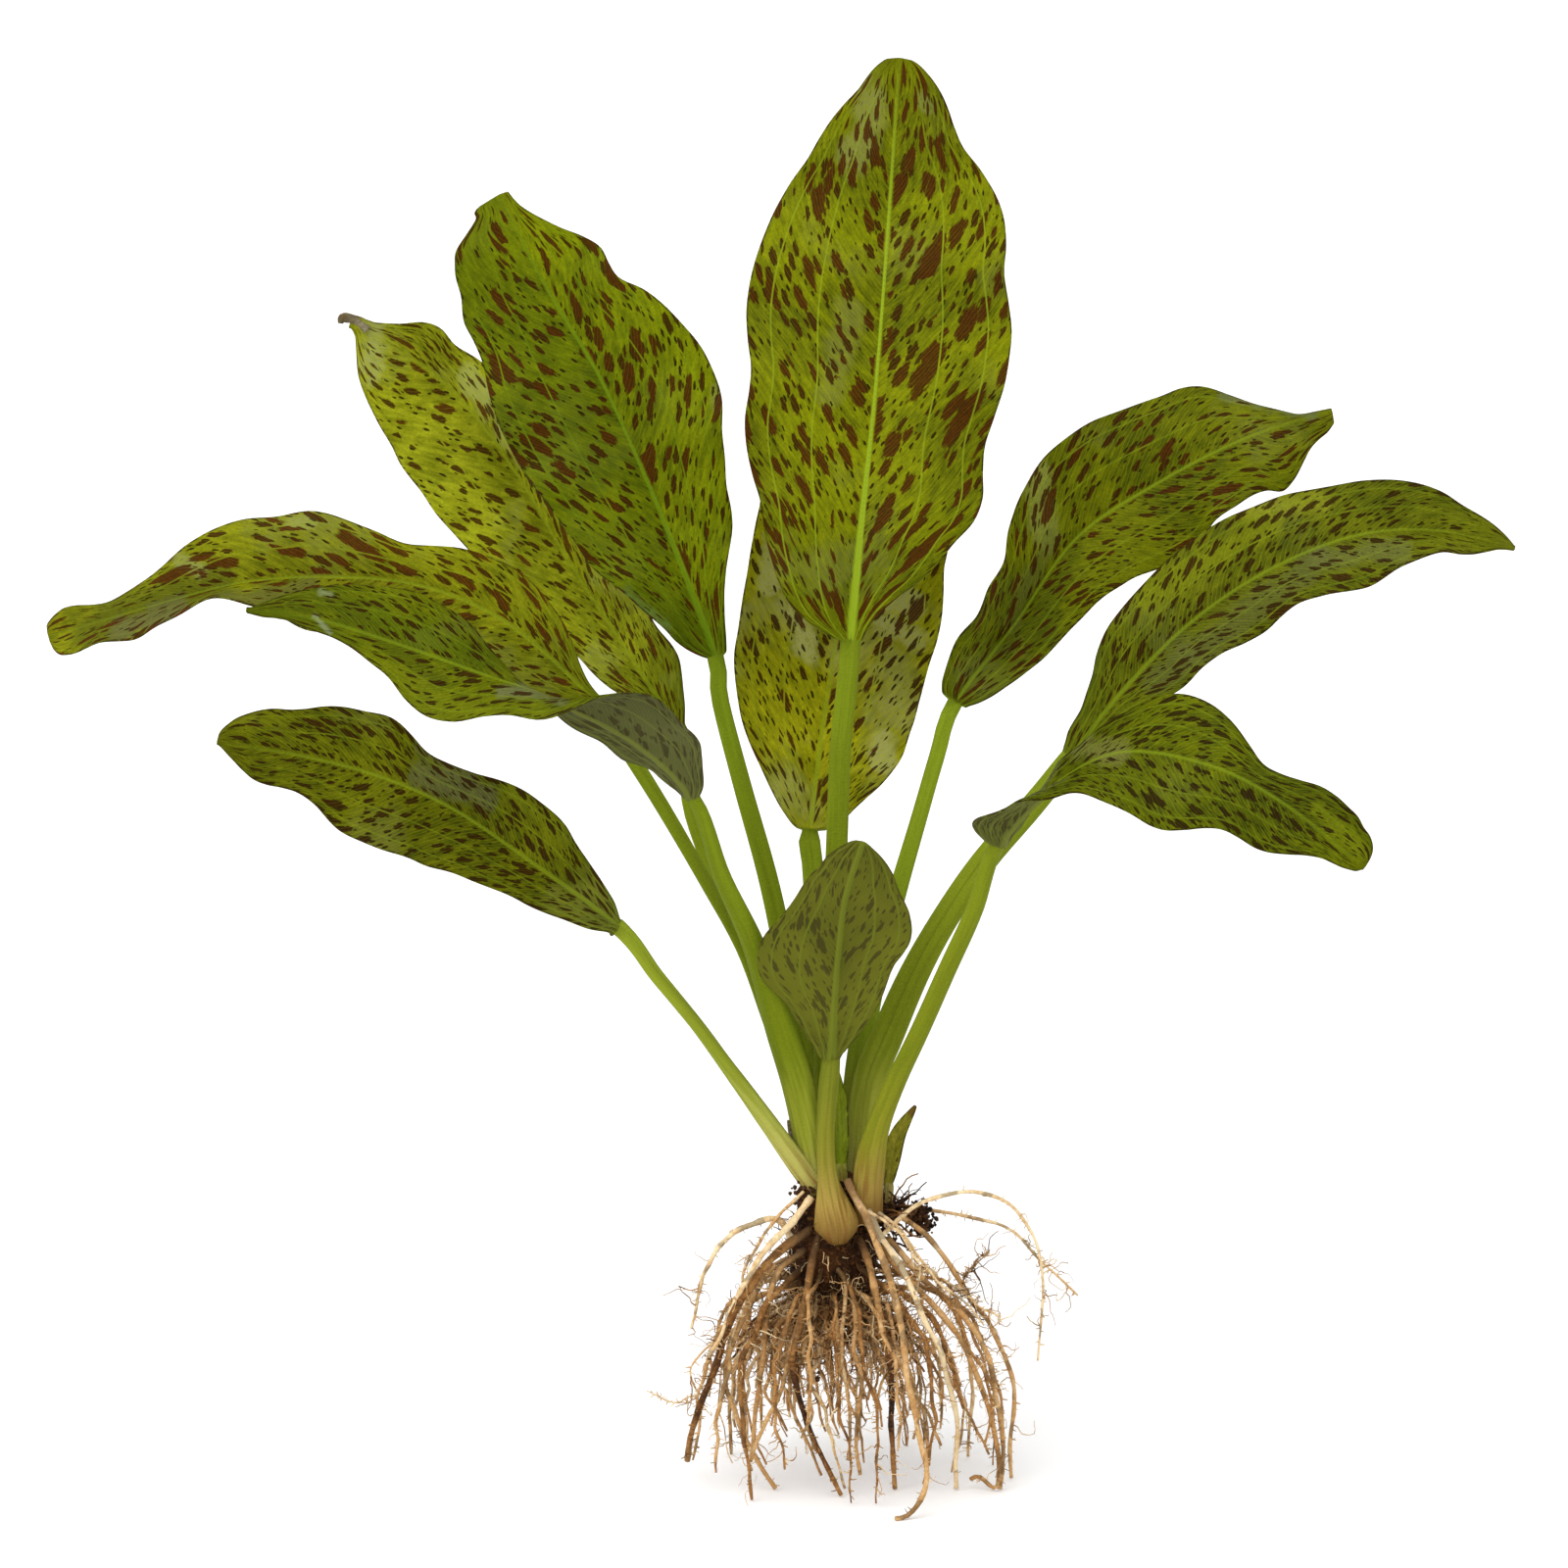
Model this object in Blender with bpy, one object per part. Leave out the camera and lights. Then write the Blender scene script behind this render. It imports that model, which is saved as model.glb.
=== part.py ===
"""Amazon sword plant, bare rooted, standing on its own root tips.

Frame: metres, +Z up, origin at the middle of the flat underside of the root mass, on the surface
that the plant rests on. +X is the plant's right side and -Y its front.
Sizes in this file are millimetres until they are built.
"""
import math
from dataclasses import dataclass

import bmesh
import bpy
from mathutils import Vector

MM = 0.001
FRONT = Vector((0.0, -1.0, 0.0))

# Leaves. Half-thicknesses are given at the middle, half way out and at the edge of a section.
STALK_RINGS = 7
BLADE_RINGS = 16
SHEATH_HALF_THICK = 1.0
STALK_HALF_THICK = 1.5
STALK_SHARES = (1.0, 0.8, 0.45)
BLADE_HALF_THICK = (0.8, 0.45, 0.25)
STALK_RUNS_OUT = 1 / 6
TIP_THINNING = 0.35
LEAST_HALF_WIDTH = 0.25
# Points across a section: its half (-1 left, 1 right), how far out, and which half-thickness.
SECTION = ((-1, 1.0, 2), (-1, 0.5, 1), (0, 0.0, 0), (1, 0.5, 1), (1, 1.0, 2))

# Crown: heights and radii.
AXIS = (-2.9, 0.0)
CROWN_PROFILE = ((46.6, 4.0), (48.5, 8.5), (52.0, 10.0), (60.5, 10.0), (62.6, 8.6))
CROWN_SIDES = 16

# Root mass: height, half-width across and half-depth front to back.
MASS_PROFILE = (
    (0.0, 26.0, 16.0), (8.0, 28.5, 19.5), (18.0, 29.0, 22.0), (28.0, 27.0, 22.5),
    (37.0, 21.5, 19.5), (43.0, 14.5, 13.5), (46.2, 8.0, 8.0),
)
MASS_SIDES = 24
MASS_LUMPS = 5
MASS_LUMP_DEPTH = 0.04
MASS_LUMP_TWIST = 0.15

# Main and loose roots
ROOT_RADIUS = 1.15
STRAY_RADIUS = 0.6
ROOT_TIP_SCALE = 0.35
TIP_CLEARANCE = 0.05
ROOT_START = 11.0
SHOULDER_HEIGHT = 46.0
BELLY_HEIGHT = 24.0
ROOT_POINTS = 9
CURVE_STEPS = 24


@dataclass(frozen=True)
class Leaf:
    """One leaf: its stalk and blade as points, and the blade's shape from base to tip.

    Half-widths, turn and fold are read at nine cosine stations, which lie close together at both
    ends of the blade. The turn swings the upper face away from the front, in degrees, and the fold
    lifts both halves of the blade towards that face.
    """

    name: str
    stalk: tuple
    blade: tuple
    left: tuple
    right: tuple
    turn: tuple
    fold: tuple
    base_turn: float
    sheath: float
    petiole: float
    colour: str = "blade_olive"


LEAVES = (
    Leaf(
        "leaf_tall",
        stalk=((-2.4, 0.2, 63.5), (-1.8, 2, 99), (-2.5, 5, 128), (-2, 9.5, 151), (-1, 13, 177), (1, 16, 197)),
        blade=((1.5, 17, 204), (4, 22, 231), (7.5, 30, 263), (10, 38, 293), (12, 44, 321), (13.5, 47, 343)),
        left=(2.6, 10.5, 22, 30, 32.5, 29.5, 18, 7, 0.5),
        right=(2.6, 5, 19.5, 28.5, 31, 30, 18.5, 8, 0.5),
        turn=(0, 0, 0, 0, 0, 0, 0, 0, 0),
        fold=(20, 14, 8, 4, 2, 0, 0, -4, -6),
        base_turn=0, sheath=3.0, petiole=2.7),
    Leaf(
        "leaf_back",
        stalk=((-2.4, 9.2, 63.5), (-4, 16, 101), (-7, 25, 129), (-8.3, 31, 147)),
        blade=((-8.8, 33, 155), (-5, 42, 180), (-1, 52, 205), (2, 61, 229), (4, 67, 247), (5, 71, 263)),
        left=(2, 7.5, 15.5, 23, 24.5, 21, 15, 6, 0.5),
        right=(2, 7, 17.5, 23, 25, 22, 13, 4, 0.5),
        turn=(0, 0, 0, 0, 0, 0, 0, 0, 0),
        fold=(18, 12, 8, 6, 6, 4, 0, 0, 0),
        base_turn=5, sheath=2.6, petiole=2.0, colour="blade_yellow"),
    Leaf(
        "leaf_high_left",
        stalk=((-5.4, 3.8, 63.5), (-8, 9, 94), (-13, 15, 119), (-18, 20.5, 144), (-24, 25, 168),
               (-28.5, 30, 188)),
        blade=((-30, 33, 198), (-40, 36, 221), (-49, 38, 243), (-59.5, 40, 266), (-72, 42, 287),
               (-84, 44, 310)),
        left=(2.2, 6.5, 15, 21.5, 28, 24, 21, 11, 0.5),
        right=(2.2, 4, 10.5, 18.5, 26.5, 21, 13, 3.5, 0.5),
        turn=(-10, -8, -6, -4, 0, 4, 4, 0, 0),
        fold=(24, 20, 14, 10, 8, 6, 0, -6, -8),
        base_turn=-25, sheath=2.8, petiole=2.3),
    Leaf(
        "leaf_far_left",
        stalk=((-8.2, 6.6, 63.5), (-12, 13.5, 95), (-18.5, 20, 115), (-26.5, 28, 134), (-35, 37.5, 157)),
        blade=((-41, 46, 177), (-55, 55, 199), (-69, 62, 220), (-82, 67, 241), (-99, 70, 262),
               (-122, 68, 277)),
        left=(2, 4, 6.5, 14, 20, 21.5, 16, 6, 0.5),
        right=(2, 6, 12, 13, 17, 18, 14, 5, 0.5),
        turn=(0, 0, 10, 20, 20, 18, 16, 14, 14),
        fold=(15, 12, 14, 20, 24, 20, 14, 12, 12),
        base_turn=-40, sheath=2.6, petiole=2.0),
    Leaf(
        "leaf_arch_left",
        stalk=((-11.2, 1.9, 63.5), (-12.6, 2.2, 95), (-18, 2, 112), (-24.7, 1, 131), (-33.4, -2, 148),
               (-42.7, -5, 165), (-51, -7, 179)),
        blade=((-60, -8, 193), (-80, -12, 212), (-100, -16, 221.5), (-121, -19, 224), (-141, -22, 223),
               (-162, -25, 218), (-187, -28, 211)),
        left=(2.2, 4.5, 10, 14, 15, 14, 9, 6, 1),
        right=(2.2, 5.5, 10, 9, 13, 14.5, 5, 7, 1),
        turn=(-40, -35, -30, -28, -32, -52, -42, -32, -30),
        fold=(20, 12, 8, 6, 10, 32, 22, 6, 4),
        base_turn=-75, sheath=2.4, petiole=2.0),
    Leaf(
        "leaf_twist_left",
        stalk=((-7.2, -3.4, 63.5), (-11.2, -6.5, 94), (-16, -10, 114), (-22, -14.5, 135),
               (-29.5, -20.5, 153)),
        blade=((-36, -26, 172.5), (-49, -32, 186.5), (-67, -40, 197.5), (-83, -45, 204),
               (-105, -48, 212.5), (-123, -48, 218), (-139, -46, 220)),
        left=(2.2, 10.5, 15, 15, 15, 10, 4, 1.5, 0.4),
        right=(2.2, 4, 5, 5, 10, 14, 8.5, 2.5, 0.4),
        turn=(-124, -128, -132, -130, -52, -22, -18, -20, -20),
        fold=(10, 6, 0, -6, -8, -8, -6, 0, 0),
        base_turn=-130, sheath=3.0, petiole=2.3),
    Leaf(
        "leaf_low_left",
        stalk=((-11.2, -4, 63.5), (-16.8, -7, 89), (-25.5, -12, 104), (-34, -17, 116.5), (-44, -24, 130)),
        blade=((-54, -30, 142.5), (-75, -40, 160.5), (-92, -47, 173.5), (-108, -54, 182),
               (-125, -62, 188), (-144, -70, 192.5)),
        left=(2.2, 4, 8.5, 12, 16, 14, 8.5, 4.5, 0.4),
        right=(2.2, 4.5, 9, 12.5, 10.5, 15, 11.5, 6.5, 0.4),
        turn=(-40, -30, -26, -24, -28, -26, -24, -22, -20),
        fold=(14, 10, 6, 4, 0, -2, -4, -4, -4),
        base_turn=-120, sheath=2.8, petiole=2.2),
    Leaf(
        "leaf_front",
        stalk=((-3.2, -8.9, 63.3), (-3, -11, 85), (-3.2, -12.5, 98)),
        blade=((-2.6, -14, 107.5), (-2.2, -18, 122.5), (-1.6, -22, 135.5), (0, -26, 149), (4, -31, 163)),
        left=(2.4, 3.5, 8, 11.5, 16.5, 16.5, 12.5, 5, 0.5),
        right=(2.4, 6, 11.5, 17, 18.5, 11.5, 6, 2, 0.5),
        turn=(180, 180, 180, 180, 180, 180, 180, 180, 180),
        fold=(8, 6, 4, 2, 2, 2, 2, 0, 0),
        base_turn=180, sheath=4.2, petiole=2.8, colour="blade_underside"),
    Leaf(
        "leaf_high_right",
        stalk=((3.2, 6.8, 63.5), (4.4, 9, 98), (7.8, 12, 122), (12.3, 16, 141.5), (17.6, 20, 160),
               (22, 24, 175)),
        blade=((27, 27, 187.5), (41.5, 31, 206.5), (56.5, 34, 227), (75.5, 34, 240), (97, 31, 251.5),
               (118, 27, 259)),
        left=(2, 6, 13, 18.5, 20.5, 20.5, 8, 2, 0.5),
        right=(2, 6, 11.5, 14, 20, 20, 16.5, 6, 0.5),
        turn=(0, -6, -16, -12, 6, 18, 26, 26, 24),
        fold=(20, 20, 34, 30, 12, 0, -8, -8, -6),
        base_turn=35, sheath=2.8, petiole=1.9),
    Leaf(
        "leaf_arch_right",
        stalk=((3, 1.2, 63.5), (6, 1.6, 95.5), (12, 0, 112), (18, -2, 127.5), (25.5, -3, 141.5),
               (34, -3, 154), (45, -4, 167)),
        blade=((54, -4, 178.5), (65, -5, 193.5), (81, -6, 210.5), (99.5, -6, 223.5), (120, -6, 232),
               (139, -6, 233.5), (159, -6, 229.5)),
        left=(2.8, 3.6, 7.5, 16, 14.5, 14, 10, 4, 0.5),
        right=(2.8, 3.4, 6.5, 11, 11.5, 12, 9, 3, 0.5),
        turn=(30, 26, 22, 20, 20, 26, 38, 36, 30),
        fold=(16, 12, 8, 4, 2, 8, 22, 18, 10),
        base_turn=50, sheath=3.0, petiole=3.2),
    Leaf(
        "leaf_low_right",
        stalk=((4.4, -6.3, 63.5), (9, -10.6, 86), (12.5, -13, 99), (17.5, -16, 115), (23.5, -19, 130),
               (30, -23, 145)),
        blade=((36, -27, 161.5), (48, -34, 176), (64, -44, 186), (84, -54, 184.5), (101, -62, 176.5),
               (118.5, -68, 163)),
        left=(2.4, 8, 12, 13, 16.5, 5.5, 8.5, 5.5, 0.5),
        right=(2.4, 12, 13.5, 14, 17.5, 13, 9, 4.5, 0.5),
        turn=(125, 122, 104, 64, 24, 16, 14, 14, 14),
        fold=(14, 14, 12, 6, 0, -4, -6, -4, -4),
        base_turn=135, sheath=3.6, petiole=2.7),
    Leaf(
        "leaf_young",
        stalk=((-1, -3.9, 63.5), (-0.6, -4.6, 74)),
        blade=((-0.8, -5.2, 80), (-1.2, -6, 92), (-2.2, -6.6, 104)),
        left=(1.4, 1.6, 1.9, 2.1, 2.1, 1.9, 1.4, 0.8, 0.4),
        right=(1.4, 1.6, 1.9, 2.1, 2.1, 1.9, 1.4, 0.8, 0.4),
        turn=(0, 0, 0, 0, 0, 0, 0, 0, 0),
        fold=(10, 10, 10, 10, 10, 10, 10, 10, 10),
        base_turn=0, sheath=1.4, petiole=1.4, colour="sheath_green"),
    Leaf(
        "leaf_spike",
        stalk=((8, -0.6, 62.5), (10, 0, 70)),
        blade=((11.4, 0, 75), (13.8, -1, 84), (17, -2, 93)),
        left=(1.6, 1.9, 2.1, 2.0, 1.8, 1.4, 1.0, 0.6, 0.3),
        right=(1.6, 1.9, 2.1, 2.0, 1.8, 1.4, 1.0, 0.6, 0.3),
        turn=(70, 60, 50, 40, 40, 40, 40, 40, 40),
        fold=(10, 10, 10, 10, 10, 10, 10, 10, 10),
        base_turn=70, sheath=1.7, petiole=1.5, colour="sheath_green"),
)

# Main roots: direction round the crown in degrees (0 is the right, -90 the front), start height,
# reach at the shoulder, at the belly and at the tip, and direction of the tip.
MAIN_ROOTS = (
    (-178, 55, 22, 33.0, 37.5, -176), (-164, 60, 24, 33.5, 36.0, -166), (-150, 55, 22, 32.5, 34.0, -156),
    (-135, 60, 24, 32.5, 30.0, -138), (-120, 55, 21, 30.5, 26.0, -120), (-105, 60, 23, 30.0, 24.0, -102),
    (-90, 54, 22, 30.0, 23.0, -86), (-76, 60, 25, 31.0, 24.5, -72), (-62, 54, 24, 32.5, 27.0, -64),
    (-48, 60, 28, 35.0, 30.5, -50), (-35, 54, 27, 37.0, 33.5, -37), (-22, 60, 31, 39.5, 36.0, -24),
    (-9, 54, 29, 40.0, 39.5, -10), (18, 54, 29, 39.5, 38.5, 17), (32, 60, 31, 38.5, 36.5, 32),
    (46, 54, 27, 36.5, 35.0, 46), (62, 60, 29, 35.5, 34.0, 62), (78, 54, 25, 34.0, 33.5, 78),
    (94, 60, 27, 34.0, 33.0, 95), (110, 54, 23, 33.0, 33.0, 111), (126, 60, 25, 33.0, 34.0, 126),
    (142, 54, 22, 32.5, 35.0, 142), (158, 60, 24, 33.0, 36.5, 158),
)

# Loose thin roots as points.
STRAY_ROOTS = (
    ("root_stray_left",
     ((-12.6, -6.4, 61.5), (-17, -8.5, 67), (-27.5, -10, 63), (-33.5, -10, 54.5), (-37, -9, 40))),
    ("root_stray_right",
     ((8, -7.4, 61.5), (19, -8, 71), (32.5, -8, 73.5), (42, -7, 68), (48, -6, 54), (47, -5, 31))),
    ("root_stray_far_right",
     ((8.4, 3.2, 61), (18, 4, 66), (39.5, 4, 62), (49, 4, 52.5), (57, 4, 45))),
)

# Colours: base colour, roughness, metallic.
MATERIALS = {
    "blade_olive": ((0.165, 0.190, 0.022), 0.45, 0.0),
    "blade_yellow": ((0.270, 0.250, 0.020), 0.48, 0.0),
    "blade_underside": ((0.110, 0.120, 0.035), 0.60, 0.0),
    "sheath_green": ((0.260, 0.300, 0.060), 0.50, 0.0),
    "crown_brown": ((0.060, 0.030, 0.014), 0.85, 0.0),
    "root_mass_brown": ((0.045, 0.022, 0.010), 0.90, 0.0),
    "root_tan": ((0.400, 0.240, 0.110), 0.65, 0.0),
}


def material(name):
    """The Principled material of that name, made once."""
    if name in bpy.data.materials:
        return bpy.data.materials[name]
    colour, roughness, metallic = MATERIALS[name]
    made = bpy.data.materials.new(name)
    made.use_nodes = True
    shader = made.node_tree.nodes["Principled BSDF"]
    shader.inputs["Base Color"].default_value = (*colour, 1.0)
    shader.inputs["Roughness"].default_value = roughness
    shader.inputs["Metallic"].default_value = metallic
    return made


def add_object(name, data, finish):
    """Put mesh or curve data in the scene as one named object with its own material."""
    data.materials.append(material(finish))
    made = bpy.data.objects.new(name, data)
    bpy.context.scene.collection.objects.link(made)
    return made


def catmull_rom(values, place):
    """Value at a place from 0 to len - 1 on the smooth curve through evenly spaced values."""
    last = len(values) - 1
    step = min(int(place), last - 1)
    t = place - step
    before = values[step - 1] if step > 0 else values[0] * 2 - values[1]
    after = values[step + 2] if step + 2 <= last else values[last] * 2 - values[last - 1]
    start, end = values[step], values[step + 1]
    return (start * 2 + (end - before) * t + (before * 2 - start * 5 + end * 4 - after) * t * t
            + (start * 3 - end * 3 + after - before) * t ** 3) * 0.5


def point_at(dense, lengths, distance):
    """Point at a distance along a dense chain."""
    for i in range(1, len(dense)):
        if lengths[i] >= distance or i == len(dense) - 1:
            span = lengths[i] - lengths[i - 1]
            return dense[i - 1].lerp(dense[i], min((distance - lengths[i - 1]) / span, 1.0))
    return dense[-1]


def even_route(points, samples):
    """Points at the given shares of the length of the smooth curve through the points."""
    knots = [Vector(point) for point in points]
    steps = CURVE_STEPS * (len(knots) - 1)
    dense = [catmull_rom(knots, (len(knots) - 1) * i / steps) for i in range(steps + 1)]
    lengths = [0.0]
    for a, b in zip(dense, dense[1:]):
        lengths.append(lengths[-1] + (b - a).length)
    return [point_at(dense, lengths, lengths[-1] * place) for place in samples]


def chain_length(points):
    """Length of the straight chain through the points."""
    return sum((Vector(b) - Vector(a)).length for a, b in zip(points, points[1:]))


def leaf_route(leaf):
    """Ring centres along stalk and blade, and the mark of each.

    A mark runs from -1 to 0 on the stalk and from 0 to 1 over the blade's stations.
    """
    whole = leaf.stalk + leaf.blade
    split = chain_length(leaf.stalk + leaf.blade[:1]) / chain_length(whole)
    stalk = [i / STALK_RINGS for i in range(STALK_RINGS)]
    blade = [i / BLADE_RINGS for i in range(BLADE_RINGS + 1)]
    samples = [split * place for place in stalk]
    samples += [split + (1 - split) * (1 - math.cos(math.pi * mark)) / 2 for mark in blade]
    return even_route(whole, samples), [place - 1 for place in stalk] + blade


def stalk_section(leaf, place):
    """Section of the stalk at a place from 0 at the crown to 1 at the blade."""
    half = leaf.petiole + (leaf.sheath - leaf.petiole) * (1 - place) ** 2
    turn = leaf.base_turn + (leaf.turn[0] - leaf.base_turn) * place
    thick = SHEATH_HALF_THICK + (STALK_HALF_THICK - SHEATH_HALF_THICK) * min(1.0, 2 * place)
    return half, half, turn, leaf.fold[0], [thick * share for share in STALK_SHARES]


def blade_section(leaf, mark):
    """Half-widths, turn and fold in degrees, and half-thicknesses of the blade at a mark."""
    place = mark * (len(leaf.left) - 1)
    left = max(catmull_rom(leaf.left, place), LEAST_HALF_WIDTH)
    right = max(catmull_rom(leaf.right, place), LEAST_HALF_WIDTH)
    blend = max(0.0, 1 - mark / STALK_RUNS_OUT)
    halves = [thin + (STALK_HALF_THICK * share - thin) * blend
              for thin, share in zip(BLADE_HALF_THICK, STALK_SHARES)]
    halves[0] -= TIP_THINNING * max(0.0, mark - 0.5)
    return left, right, catmull_rom(leaf.turn, place), catmull_rom(leaf.fold, place), halves


def ring_points(leaf, centre, along, mark):
    """Ten points round one section of a leaf: five across the upper face, five back along the lower."""
    section = stalk_section(leaf, mark + 1) if mark < 0 else blade_section(leaf, mark)
    left, right, turn, fold, halves = section
    side = along.cross(FRONT).normalized()
    face = side.cross(along)
    upper, lower = [], []
    for half, out, which in SECTION:
        lift = math.radians(fold + turn * half)
        arm = side * math.cos(lift) * half + face * math.sin(lift)
        turned = math.radians(turn + fold * half)
        normal = face * math.cos(turned) - side * math.sin(turned)
        spot = centre + arm * out * (left if half < 0 else right)
        upper.append(spot + normal * halves[which])
        lower.append(spot - normal * halves[which])
    return upper + lower[::-1]


def loft(name, rings, finish):
    """Closed body through equal rings of points in millimetres, made by extruding the first ring."""
    shape = bmesh.new()
    first = shape.faces.new([shape.verts.new(point * MM) for point in rings[0]])
    face = first
    for ring in rings[1:]:
        made = bmesh.ops.extrude_face_region(shape, geom=[face])
        if face is not first:
            shape.faces.remove(face)
        face = next(item for item in made["geom"] if isinstance(item, bmesh.types.BMFace))
        for vert, point in zip(face.verts, ring):
            vert.co = point * MM
    bmesh.ops.recalc_face_normals(shape, faces=shape.faces)
    mesh = bpy.data.meshes.new(name)
    shape.to_mesh(mesh)
    shape.free()
    mesh.shade_smooth()
    return add_object(name, mesh, finish)


def build_leaf(leaf):
    """One leaf as a single body, from its sheath on the crown to its tip."""
    centres, marks = leaf_route(leaf)
    rings = []
    for i, centre in enumerate(centres):
        before, after = centres[max(i - 1, 0)], centres[min(i + 1, len(centres) - 1)]
        rings.append(ring_points(leaf, centre, (after - before).normalized(), marks[i]))
    return loft(leaf.name, rings, leaf.colour)


def level_ring(centre, height, across, deep, sides, lump_depth=0.0):
    """Level oval ring of points, with an optional run of lumps round it."""
    ring = []
    for i in range(sides):
        angle = math.tau * i / sides
        swell = 1 + lump_depth * math.sin(MASS_LUMPS * angle + height * MASS_LUMP_TWIST)
        ring.append(Vector((centre[0] + across * swell * math.cos(angle),
                            centre[1] + deep * swell * math.sin(angle), height)))
    return ring


def build_crown():
    """Short rhizome that carries the leaves above and the roots below."""
    rings = [level_ring(AXIS, height, radius, radius, CROWN_SIDES) for height, radius in CROWN_PROFILE]
    return loft("crown", rings, "crown_brown")


def build_root_mass():
    """Form of the tangle of fine roots, flat where it rests, leaning in under the crown."""
    top = MASS_PROFILE[-1][0]
    rings = []
    for height, across, deep in MASS_PROFILE:
        centre = (AXIS[0] * height / top, AXIS[1] * height / top)
        rings.append(level_ring(centre, height, across, deep, MASS_SIDES, MASS_LUMP_DEPTH))
    return loft("root_mass", rings, "root_mass_brown")


def tube(name, points, radii, finish):
    """Round root along the points, with filled ends."""
    curve = bpy.data.curves.new(name, "CURVE")
    curve.dimensions = "3D"
    curve.bevel_depth = MM
    curve.bevel_resolution = 1
    curve.use_fill_caps = True
    spline = curve.splines.new("POLY")
    spline.points.add(len(points) - 1)
    for spot, point, radius in zip(spline.points, points, radii):
        spot.co = (*(point * MM), 1.0)
        spot.radius = radius
    return add_object(name, curve, finish)


def taper(count, radius):
    """Radii from full at the crown to a thin tip."""
    return [radius * (1 - (1 - ROOT_TIP_SCALE) * (i / (count - 1)) ** 2) for i in range(count)]


def main_root_points(angle, start, shoulder, belly, tip, tip_angle):
    """Knots of one main root: out of the crown, over the root mass and down to the surface."""
    tip_height = ROOT_RADIUS * ROOT_TIP_SCALE + TIP_CLEARANCE
    knots = ((ROOT_START, start, 0.0), (shoulder, SHOULDER_HEIGHT, 0.2), (belly, BELLY_HEIGHT, 0.5),
             ((belly + tip) / 2, BELLY_HEIGHT / 2, 0.8), (tip, tip_height, 1.0))
    points = []
    for reach, height, share in knots:
        turned = math.radians(angle + (tip_angle - angle) * share)
        lean = AXIS[0] * min(1.0, height / SHOULDER_HEIGHT)
        points.append(Vector((lean + reach * math.cos(turned), reach * math.sin(turned), height)))
    return points


def build_roots():
    """Main roots fanned round the crown, and the loose thin ones at its sides."""
    samples = [i / (ROOT_POINTS - 1) for i in range(ROOT_POINTS)]
    for number, numbers in enumerate(MAIN_ROOTS, start=1):
        points = even_route(main_root_points(*numbers), samples)
        tube(f"root_{number:02d}", points, taper(ROOT_POINTS, ROOT_RADIUS), "root_tan")
    for name, knots in STRAY_ROOTS:
        tube(name, even_route(knots, samples), taper(ROOT_POINTS, STRAY_RADIUS), "root_tan")


def main():
    """Clear the scene and build the plant."""
    for old in list(bpy.data.objects):
        bpy.data.objects.remove(old, do_unlink=True)
    for leaf in LEAVES:
        build_leaf(leaf)
    build_crown()
    build_root_mass()
    build_roots()


main()
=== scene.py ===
"""Looks of the bare-rooted amazon sword plant: leaves, crown, roots, studio and camera.

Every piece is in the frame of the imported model: metres, +Z up, origin on the surface under the
middle of the roots, +X the plant's right side and -Y its front. Sizes in the tables are in
millimetres and colours are 0 to 255.
"""
import logging
import math
from dataclasses import dataclass
from enum import Enum

import bpy
import numpy as np
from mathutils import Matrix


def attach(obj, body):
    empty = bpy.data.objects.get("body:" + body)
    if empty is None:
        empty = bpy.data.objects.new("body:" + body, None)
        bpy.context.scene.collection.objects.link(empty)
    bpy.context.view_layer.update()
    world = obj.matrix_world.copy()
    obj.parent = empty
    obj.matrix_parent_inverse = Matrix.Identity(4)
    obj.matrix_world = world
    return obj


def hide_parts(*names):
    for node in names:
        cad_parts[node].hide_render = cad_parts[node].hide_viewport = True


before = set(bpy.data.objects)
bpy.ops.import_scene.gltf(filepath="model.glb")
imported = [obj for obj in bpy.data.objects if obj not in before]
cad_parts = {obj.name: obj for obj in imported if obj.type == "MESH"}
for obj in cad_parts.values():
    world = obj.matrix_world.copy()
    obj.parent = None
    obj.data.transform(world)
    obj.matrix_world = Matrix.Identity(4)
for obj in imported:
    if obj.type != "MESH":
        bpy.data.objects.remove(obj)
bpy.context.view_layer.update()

LOG = logging.getLogger("plant")
MM = 0.001
FRONT = np.array((0.0, -1.0, 0.0))
SEED = 9
# Where the crown's axis stands across, in millimetres.
CROWN_X = -2.9


# ---------------------------------------------------------------- curves and meshes

def spline(values, place) -> np.ndarray:
    """Read the smooth curve through evenly spaced values.

    Args:
        values: Numbers or points, one at each whole place.
        place: Places from 0 to the number of values less one.

    Returns:
        A number or a point for each place.
    """
    knots = np.asarray(values, float)
    place = np.asarray(place, float)
    step = np.clip(place.astype(int), 0, len(knots) - 2)
    part = place - step
    if knots.ndim > 1:
        part = part[..., None]
    run = np.concatenate(([2 * knots[0] - knots[1]], knots, [2 * knots[-1] - knots[-2]]))
    before, start, end, after = (run[step + i] for i in range(4))
    return 0.5 * (2 * start + (end - before) * part
                  + (2 * before - 5 * start + 4 * end - after) * part ** 2
                  + (3 * start - 3 * end + after - before) * part ** 3)


def smooth_step(value, low: float, high: float) -> np.ndarray:
    """Rise smoothly from 0 at low to 1 at high."""
    share = np.clip((np.asarray(value, float) - low) / (high - low), 0.0, 1.0)
    return share * share * (3 - 2 * share)


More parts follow.
